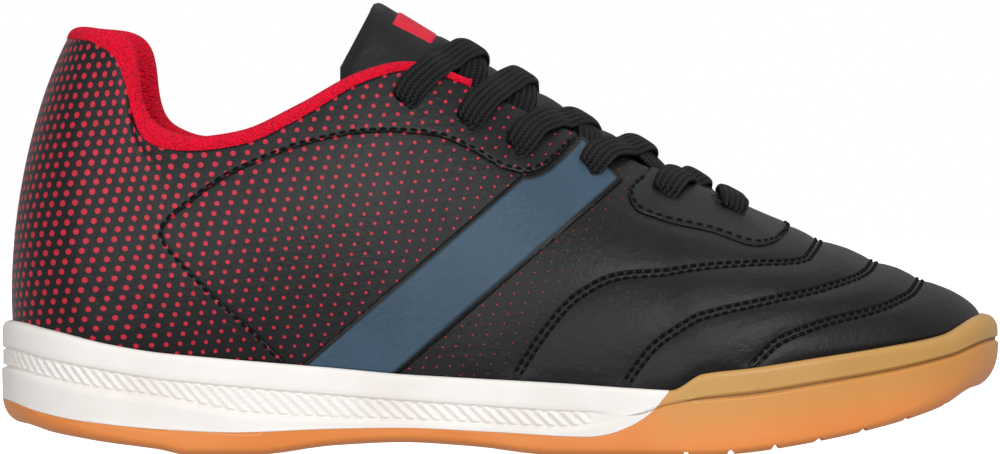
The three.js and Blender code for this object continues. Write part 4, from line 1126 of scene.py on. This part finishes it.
def make_upper():
    """The upper's outer and inner faces, its top edge and the walls of its eyelets. Near
    the vamp's seams it sinks and swells, and under the panels it lies a little deeper."""
    c = np.linspace(-1, 1, 681)[:-1]
    v = np.linspace(0, 1, 84)
    point, out, flat = skin(c, v, 0.0)
    signed = beside_vamp_seam(point.reshape(-1, 3)).reshape(point.shape[:2])
    near = np.abs(signed)
    reach = soft(94, 106, point[..., 0])
    press = SEAM_SWELL * soft(1.5, 8, near) * soft(26, 9, near) - SEAM_SUNK * np.exp(-((near / 1.7) ** 2))
    fade = soft(0.0, 0.05, v)[None, :] * soft(1.0, 0.9, v)[None, :]
    lift = press * reach * fade
    covered = np.maximum(quarter_keep(point), facing_keep(point))
    lift = lift * soft(0.5, -3.0, covered) - 0.25 * soft(-0.5, 1.0, covered)
    point = point + out * lift[..., None]
    points = point.reshape(-1, 3)
    shown = reach * soft(0.2, -0.2, covered) * soft(4.0, 2.5, near)
    uv = np.concatenate([flat, signed[..., None], shown[..., None]], -1).reshape(-1, 4)
    faces = turned_out(points, triangles(grid_faces(len(c), len(v), ring_rows=True)), out.reshape(-1, 3))
    points, uv, faces = clip(points, uv, faces, holes_keep(points, EYELET + 0.1))
    # Foot of the wall inside the sole, the top edge and the inner face
    inner_v = np.linspace(1, 0, 26)
    inner_c = np.linspace(-1, 1, 241)[:-1]
    inner, _, inner_flat = skin(inner_c, inner_v, WALL)
    low = plan(inner_c, lip_by_x(outline(inner_c)[:, 0]) + GAP + WALL)[0]
    low = np.concatenate([low, (floor_at(outline(inner_c)[:, 0]) + GAP)[:, None]], -1)[:, None, :]
    inner = np.concatenate([inner, low], 1)
    inner_flat = np.concatenate([inner_flat, inner_flat[:, -1:]], 1)
    inside = triangles(grid_faces(len(inner_c), inner.shape[1], ring_rows=True))
    inner_points = inner.reshape(-1, 3)
    open_at = holes_keep(inner_points)
    inner_points, _, inside = clip(inner_points, inner_flat.reshape(-1, 2), inside, open_at)
    edge = np.stack([skin(c, np.array([1.0]), d)[0][:, 0] for d in (0.0, 0.3, WALL - 0.3, WALL)], 1)
    edge[:, 1:3] += np.array([0, 0, 0.25])
    edge_faces = triangles(grid_faces(len(c), 4, ring_rows=True))
    tube, tube_faces = tube_rings(-0.6, WALL)
    all_points = [points, inner_points, edge.reshape(-1, 3), tube]
    starts = np.cumsum([0] + [len(p) for p in all_points[:-1]])
    all_faces = [faces, inside + starts[1], edge_faces + starts[2], triangles(tube_faces) + starts[3]]
    rest = len(inner_points) + len(edge) * 4 + len(tube)
    all_uv = np.concatenate([uv, np.zeros((rest, 4))])
    picks = np.concatenate([np.full(len(f), m) for f, m in zip(all_faces, (0, 1, 2, 3))])
    make_piece(
        "upper_body", np.concatenate(all_points), np.concatenate(all_faces),
        [leather_vamp, cloth_black, leather_plain, eyelet_glint], ["upper"],
        uv=all_uv, picks=picks,
    )


make_upper()


OVERLAY = 0.6
OVERLAY_LIFT = 0.62
OVERLAY_ROUNDED = 0.4


def overlay(name, node, material, c, v, keep_of):
    """A panel laid on the upper: the part of the face where keep_of is above zero."""
    point, out, flat = skin(c, v, -OVERLAY_LIFT)
    points = point.reshape(-1, 3)
    keep = keep_of(points)
    # The edge is pressed down and the field is slightly crowned
    press = -OVERLAY_ROUNDED * (1 - np.sqrt(1 - (1 - np.clip(keep / 0.9, 0, 1)) ** 2))
    points = points + out.reshape(-1, 3) * press[:, None]
    uv = np.concatenate([flat.reshape(-1, 2), keep[:, None], np.ones((len(keep), 1))], 1)
    faces = turned_out(points, triangles(grid_faces(len(c), len(v))), out.reshape(-1, 3))
    keep = np.minimum(keep, holes_keep(points))
    points, uv, faces = clip(points, uv, faces, keep)
    add_shell(make_piece(name, points, faces, [material], [node], uv=uv), OVERLAY)


overlay(
    "quarter_cover", "quarter_panel", leather_dots,
    np.linspace(-0.62, 0.62, 380), np.linspace(0.0, 1, 84), quarter_keep,
)
overlay(
    "facing_cover", "front_facing", leather_plain,
    np.linspace(0.58, 1.42, 259), np.linspace(0.55, 1, 90), facing_keep,
)
for sign, name in ((-1, "lateral"), (1, "medial")):
    overlay(
        "band_" + name, "side_band_" + name, leather_slate,
        sign * np.linspace(0.2, 0.68, 240), np.linspace(0.0, 1, 110), band_keep,
    )


# Collar lining
def make_lining():
    """The padded cuff: a closed profile of places below the mouth and depths under the face."""
    c = np.linspace(-LINING_END, LINING_END, 150)
    thick = padding_share(np.abs(c)) * PADDING
    drop = DROP * np.minimum(1, 0.25 + 1.1 * padding_share(np.abs(c)))
    roll = ROLL * (0.45 + 0.55 * roll_share(np.abs(c)))
    bulge = soft(0.1, 0.15, np.abs(c)) * soft(0.25, 0.19, np.abs(c))
    full = roll * (0.92 + 0.3 * bulge)
    inner = WALL + LINING_GAP
    profile = [
        ((0.18 + 0.4 * bulge) * roll, -0.62),
        (-0.3 * roll, -1.1),
        (-0.95 * full, -0.6),
        (-1.3 * full, 0.5 * inner),
        (-1.35 * full, inner + 0.2 * thick),
        (-0.95 * roll, inner + 0.75 * thick),
        (0.12 * drop, inner + thick),
        (0.4 * drop, inner + thick),
        (0.75 * drop, inner + 0.6 * thick),
        (drop, inner + 0.2 * thick + 0.3),
        (drop, inner),
        (0.6 * drop, inner),
        (0.25 * drop, inner),
        (-LINING_GAP, inner),
        (-LINING_GAP, 0),
    ]
    distance, depth = [
        np.stack([np.broadcast_to(place[k], c.shape) for place in profile], 1) for k in (0, 1)
    ]
    point, _, _ = from_mouth(c, distance, depth)
    rows, columns = point.shape[:2]
    for _ in range(2):
        point[1:-1] = (point[:-2] + 2 * point[1:-1] + point[2:]) / 4
    faces = grid_faces(rows, columns, ring_columns=True).tolist()
    faces.append(list(range(columns))[::-1])
    faces.append([(rows - 1) * columns + j for j in range(columns)])
    piece = make_piece("collar_cuff", point, faces, [knit_red], ["collar_lining"])
    fine = piece.modifiers.new("fine", "SUBSURF")
    fine.levels = fine.render_levels = 2


make_lining()


# Tongue and laces. The laces' routes come first, because they press into the tongue.
def under_eyelets(c, below):
    """Places on the inner side of the eyelet rows, under the wall and the lining."""
    c = np.atleast_1d(np.asarray(c, float))
    inside = np.where(np.abs(c) < LINING_END + 0.02, padding_share(np.abs(c)) * PADDING + LINING_GAP, 0)
    below = np.broadcast_to(below, c.shape)[:, None]
    return from_mouth(c, below, (WALL + GAP + inside)[:, None])[0][:, 0]


def tongue_face(at, across):
    """Places of the tongue's arch between the two rows: across runs from -1 to 1."""
    lateral = under_eyelets([-at], 0.0)[0]
    medial = under_eyelets([at], 0.0)[0]
    share = (np.asarray(across)[:, None] + 1) / 2
    rise = arch_share(at) * PUFF * (1 - np.asarray(across) ** 2)
    return lateral * (1 - share) + medial * share + THROAT_UP * rise[:, None]


# The laces press half of the panels' thickness into them
LACE_LIFT = OVERLAY / 2 + 2 * GAP + LACE_THICK / 2


def from_hole(sign, at, step, down, low):
    """Places of a lace from inside its eyelet up to the edge of the throat."""
    places = []
    for share, distance, depth, wide in (
        (0.0, down + 0.2, 2.4, 4.4),
        (0.0, down + low, 0.4, 5.2),
        (0.01, down + low, -1.2, 6.2),
        (0.05, down + low - 1.3, -LACE_LIFT - 0.1, 6.6),
        (0.16, 0.58 * down, -LACE_LIFT - 0.15, 6.4),
        (0.28, 0.22 * down, -LACE_LIFT - 0.1, 6.4),
        (0.38, -0.8, -LACE_LIFT + 0.4, 6.4),
    ):
        place, out, _ = from_mouth([sign * (at + step * share)], [[distance]], depth)
        places.append((place[0, 0], out[0, 0], wide))
    return places


# Each crossing's lowest place under its hole, how far it leans and how high it lies
LIE = [(0.9, 1.0, 0.3), (0.9, 1.0, 0.0), (1.9, 1.0, -0.9), (2.1, 0.75, 0.6), (2.4, 0.75, 0.4)]


def crossing(i, sign, raised):
    """Route of one run: out of its hole, over the tongue and down under the other row."""
    (at, below), following = EYELETS[i], EYELETS[i + 1]
    low, lean, lie = LIE[i]
    step = (following[0] - at) * (0.88 if i == 4 else 1.0)
    places = from_hole(sign, at, lean * step, below * LACE_WIDE, low)
    for share, across, lift in (
        (0.5 * lean, 0.66, 0.7 + 0.4 * raised + 0.8 * lie),
        (0.62 * lean, 0.34, 0.3 + 0.9 * raised + lie),
        (0.74 * lean, 0.0, 0.2 + raised + lie),
        (0.85 * lean, -0.36, 0.1 + 0.4 * raised + 0.6 * lie),
        (0.93, -0.68, 0.0),
        (0.99, -0.95, -0.7),
        (1.02, -1.12, -2.0),
    ):
        place = tongue_face(at + step * share, [sign * across])[0] + THROAT_UP * lift
        places.append((place, unit(np.array([0, 0.9 * sign * across, 0]) + THROAT_UP * 2.0), 6.4))
    return places


def low_bar():
    """Route of the straight bar between the two lowest eyelets."""
    at, below = EYELETS[-1]
    halves = [from_hole(sign, at + 0.016, 0.04, below * LACE_WIDE, 2.9)[:-1] for sign in (-1, 1)]
    middle = (halves[0][-1][0] + halves[1][-1][0]) / 2 - THROAT_UP * 1.3
    return halves[0] + [(middle, THROAT_UP, 6.4)] + halves[1][::-1]


def strand_line(places):
    """Even points along a strand, with its facing direction and its width."""
    rows = [np.concatenate([place, facing, [wide]]) for place, facing, wide in places]
    line = smooth_path(np.array(rows), 0.35)
    for _ in range(8):
        line[1:-1] = (line[:-2] + 2 * line[1:-1] + line[2:]) / 4
    return line[:, :3], unit(line[:, 3:6]), line[:, 6]


LACE_SIDES = 28


def lace_mesh(name, node, strands):
    """Flat braided strands."""
    points, faces, uv = [], [], []
    start = 0
    turn = np.linspace(0, 2 * math.pi, LACE_SIDES, endpoint=False)
    shape_x = np.sign(np.cos(turn)) * np.abs(np.cos(turn)) ** 0.62
    shape_y = np.sign(np.sin(turn)) * np.abs(np.sin(turn)) ** 0.8
    for place, facing, wide in strands:
        way = unit(np.gradient(place, axis=0))
        across = unit(np.cross(way, facing))
        up = np.cross(across, way)
        thick = LACE_THICK * (1 + 0.5 * (1 - wide / LACE_WIDE))
        walked = walk(place)
        wave = 1 + 0.03 * np.sin(walked * 0.9 + start)
        ring = (
            place[:, None, :]
            + across[:, None, :] * (shape_x[None, :, None] * (wide * wave)[:, None, None] / 2)
            + up[:, None, :] * (shape_y[None, :, None] * thick[:, None, None] / 2)
        )
        rows = len(place)
        flat = np.broadcast_arrays(shape_x * LACE_WIDE / 2 + 20, walked[:, None])
        points.append(ring.reshape(-1, 3))
        uv.append(np.stack(flat, -1).reshape(-1, 2))
        faces.extend(grid_faces(rows, LACE_SIDES, ring_columns=True, start=start)[:, ::-1].tolist())
        faces.append([start + j for j in range(LACE_SIDES)])
        faces.append([start + (rows - 1) * LACE_SIDES + j for j in range(LACE_SIDES)][::-1])
        start += rows * LACE_SIDES
    uv = np.concatenate(uv)
    make_piece(name, np.concatenate(points), faces, [lace_black], [node], uv=uv)


lace_lines = []
for i in range(5):
    over = crossing(i, -1, 0.75 * LACE_THICK)
    under = crossing(i, 1, 0.0)
    lace_lines.append([strand_line(over), strand_line(under)])
    lace_mesh(f"lace_over_{i + 1}", f"lace_crossing_{i + 1}", lace_lines[-1])
lace_lines.append([strand_line(low_bar())])
lace_mesh("lace_low_bar", "lace_bar", lace_lines[-1])
lace_tree = tree_of(np.concatenate([line[0] for pair in lace_lines for line in pair]))


def free_rows(last, shares):
    """The throat's last section, carried along the tongue's free part."""
    middle = len(last) // 2
    aside = np.minimum(np.abs(np.arange(len(last)) - middle) / 16.0, 1)[:, None] ** 2
    rows = []
    for share in shares:
        narrow = 1 - 0.12 * share - 0.13 * soft(0.8, 1.0, share)
        pulled = 1.6 * share * (1 - aside)
        moved = (last - last[middle]) * np.array([1, narrow, 1]) + last[middle]
        reach = share * TONGUE_FREE * (1 - 0.15 * aside) - pulled
        rows.append(moved + TONGUE_WAY * reach - THROAT_UP * TONGUE_SAG * share * aside)
    return rows


def make_tongue():
    """The padded tongue, from its root under the vamp to its free end."""
    tops = []
    across = np.linspace(-1, 1, 33)
    wings = np.linspace(WING, WING / 6, 6)
    for at in np.linspace(0.73, 0.415, 44):
        left = under_eyelets(np.full(6, -at), wings)
        right = under_eyelets(np.full(6, at), wings[::-1])
        tops.append(np.concatenate([left, tongue_face(at, across), right]))
    roots = []
    for middle, sides in ((9, 9.5), (5, 8.5), (1, 7.5)):
        t = np.linspace(-1, 1, len(tops[0]))
        c = np.where(t < 0, -1, 1) * (1 - 0.22 * np.abs(t))
        below = middle + (sides - middle) * t * t
        roots.append(from_mouth(c, below[:, None], WALL + GAP)[0][:, 0])
    top = np.array(roots + tops + free_rows(tops[-1], np.linspace(0.05, 1, 20)))
    down = unit(np.cross(unit(np.gradient(top, axis=0)), unit(np.gradient(top, axis=1))))
    down = down * np.where(down[..., 2:3] > 0, -1, 1)
    rows, columns = top.shape[:2]
    edge = np.clip(np.minimum(np.arange(columns), columns - 1 - np.arange(columns)) / 5.0, 0, 1)
    crown = np.sqrt(edge * (2 - edge))
    end = np.clip((rows - 1 - np.arange(rows)) / 3.0, 0, 1)
    end = np.sqrt(end * (2 - end))
    # Laces press soft dents, and the padding swells between them
    near = np.array([lace_tree.find(p)[2] for p in top.reshape(-1, 3)]).reshape(rows, columns)
    swell = 0.5 - 1.7 * np.exp(-((near / 3.3) ** 2))
    inner = np.clip((np.minimum(np.arange(columns), columns - 1 - np.arange(columns)) - 7) / 4.0, 0, 1)
    swell = swell * inner[None, :] * soft(4, 8, np.arange(rows))[:, None] * end[:, None]
    thick = TONGUE_THICK * (0.45 + 0.55 * crown[None, :] * (0.4 + 0.6 * end[:, None]))
    under = top + down * thick[..., None]
    top = top + down * (0.5 * (1 - end))[:, None, None] - down * swell[..., None]
    ring = np.concatenate([top, under[:, ::-1]], 1)
    width = ring.shape[1]
    faces = grid_faces(rows, width, ring_columns=True)[:, ::-1].tolist()
    for row, flip in ((0, True), (rows - 1, False)):
        for j in range(columns - 1):
            quad = [row * width + k for k in (j, j + 1, width - 2 - j, width - 1 - j)]
            faces.append(quad if flip else quad[::-1])
    piece = make_piece("tongue_pad", ring, faces, [leather_plain], ["tongue"])
    return tops[-1]


tongue_head = make_tongue()


def make_label():
    """The plain patch that follows the tongue's free end."""
    middle = len(tongue_head) // 2
    reach = TONGUE_FREE - LABEL_FROM_TIP
    count, columns = 24, 29
    rows = free_rows(tongue_head, np.linspace(reach - LABEL_LONG, reach, count) / TONGUE_FREE)
    points = []
    for row in rows:
        width = row[middle, 1] + np.linspace(-LABEL_WIDE / 2, LABEL_WIDE / 2, columns)
        points.append(np.stack([np.interp(width, row[:, 1], row[:, k]) for k in range(3)], 1))
    points = np.array(points)
    i, j = np.meshgrid(np.linspace(-1, 1, count), np.linspace(-1, 1, columns), indexing="ij")
    edge = 1 - np.clip((1 - np.maximum(np.abs(i), np.abs(j))) / 0.16, 0, 1)
    points += THROAT_UP * (0.95 - 0.45 * (1 - np.sqrt(1 - edge**2)))[..., None]
    points = points.reshape(-1, 3)
    faces = turned_out(points, grid_faces(count, columns), np.broadcast_to(THROAT_UP, points.shape))
    piece = make_piece("label_patch", points, faces, [label_red], ["tongue_label"])
    add_shell(piece, LABEL_THICK)


make_label()


# Stitches
def stitch_mesh(name, lines, material, pitch=1.95, long=1.5, wide=0.68, high=0.56):
    """Short thread humps along lines of (places, outward directions)."""
    turn = np.linspace(0, 2 * math.pi, 7, endpoint=False)
    share = np.linspace(-1, 1, 6)
    girth_of = np.sqrt(np.maximum(1 - np.abs(share) ** 2.6, 0.02))
    shape = []
    for s, g in zip(share, girth_of):
        for a in turn:
            drop = 0.16 * s * s
            shape.append((s * long / 2, math.cos(a) * wide / 2 * g, math.sin(a) * high / 2 * g - drop))
    shape = np.array(shape)
    base = grid_faces(6, 7, ring_columns=True)
    ends = [list(range(7))[::-1], [35 + j for j in range(7)]]
    points = []
    faces = []
    for place, out in lines:
        walked = walk(place)
        spots = np.arange(pitch / 2, walked[-1], pitch)
        rows = np.concatenate([place, unit(np.gradient(place, axis=0)), out], 1)
        for spot in spots:
            p, w, o = np.array([np.interp(spot, walked, column) for column in rows.T]).reshape(3, 3)
            w = unit(w)
            side = unit(np.cross(o, w))
            up = np.cross(w, side)
            wobble = 1 + 0.06 * (chance.random() - 0.5)
            start = len(points) * len(shape)
            points.append(p + shape[:, :1] * w * wobble + shape[:, 1:2] * side + shape[:, 2:] * up)
            faces.extend((base + start).tolist())
            faces.extend([[i + start for i in end] for end in ends])
    make_piece(name, np.concatenate(points), faces, [material], ())


vamp_lines = [beside(seam, off, 0.32) for seam in vamp_seams for off in (-0.62, 0.62)]
stitch_mesh("stitches_vamp", vamp_lines, thread_black)
panel_lines = []
for sign in (-1, 1):
    for seam, keep_of in ((quarter_seams[sign], quarter_keep), (facing_seams[sign], facing_keep)):
        lines = [beside(seam, off, -0.62) for off in (-0.45, 0.45)]
        panel_lines.append(max(lines, key=lambda line: keep_of(line[0]).sum()))
stitch_mesh("stitches_panels", panel_lines, thread_black, pitch=2.2, long=1.7, wide=0.72, high=0.6)

# Floor, light and camera
floor_mesh = bpy.data.meshes.new("floor")
floor_mesh.from_pydata([(-6, -6, 0), (6, -6, 0), (6, 6, 0), (-6, 6, 0)], [], [(0, 1, 2, 3)])
floor = add_object("floor", floor_mesh)
floor_mesh.materials.append(glowing("floor", (0.9, 0.9, 0.9), roughness=0.9))
floor.visible_diffuse = False
floor.visible_glossy = False

# White backdrop right round, seen by the camera alone
DOME_RADIUS = 9.0
rise, turn = np.meshgrid(
    np.radians(np.linspace(-90, 90, 25)), np.radians(np.linspace(0, 360, 48, endpoint=False)), indexing="ij"
)
dome_points = [np.cos(rise) * np.cos(turn), np.cos(rise) * np.sin(turn), np.sin(rise)]
dome_points = DOME_RADIUS * np.stack(dome_points, -1)
dome_faces = grid_faces(*rise.shape, ring_columns=True)
dome_mesh = bpy.data.meshes.new("backdrop")
dome_mesh.from_pydata(dome_points.reshape(-1, 3).tolist(), [], dome_faces.tolist())
dome = add_object("backdrop", dome_mesh)
dome_mesh.materials.append(glowing("backdrop", (0, 0, 0), roughness=1.0, Specular_IOR_Level=0))
dome.visible_diffuse = False
dome.visible_glossy = False
dome.visible_transmission = False
dome.visible_shadow = False

world = bpy.data.worlds.new("studio")
bpy.context.scene.world = world
world.use_nodes = True
sky = world.node_tree.nodes["Background"].inputs
sky["Color"].default_value = (1, 1, 1, 1)
sky["Strength"].default_value = 0.45


def turn_to(made, place, aim):
    """Puts a light or the camera at a place, looking at another."""
    made.location = place
    made.rotation_mode = "QUATERNION"
    made.rotation_quaternion = (aim - place).to_track_quat("-Z", "Y")


def soft_light(name, place, aim, size, power):
    """A rectangular light of a size in metres and a power in watts."""
    data = bpy.data.lights.new(name, "AREA")
    data.shape = "RECTANGLE"
    data.size, data.size_y = size
    data.energy = power
    turn_to(add_object(name, data), Vector(place), Vector(aim))


soft_light("key", (0.35, -1.0, 0.5), (0, 0, 0.04), (0.8, 0.5), 7.0)
soft_light("front", (-0.6, -1.0, 0.25), (-0.03, 0, 0.04), (0.6, 0.5), 3.5)
soft_light("top", (0.1, 0.25, 0.9), (0, 0, 0.04), (0.8, 0.5), 1.2)

camera_data = bpy.data.cameras.new("camera")
camera = add_object("camera", camera_data)
bpy.context.scene.camera = camera
# The picture is 1000 pixels wide and shows the shoe at 4.66 pixels a millimetre
PIXELS_PER_MM = 4.66
SENSOR = 36
distance = 3.0
camera_data.sensor_width = SENSOR
camera_data.lens = SENSOR * PIXELS_PER_MM * distance
camera_data.clip_start = 0.05
elevation = math.radians(0.4)
target = Vector((-0.0001, 0, 0.0484))
turn_to(camera, target + Vector((0, -math.cos(elevation), math.sin(elevation))) * distance, target)
bpy.context.scene.view_settings.view_transform = "Standard"
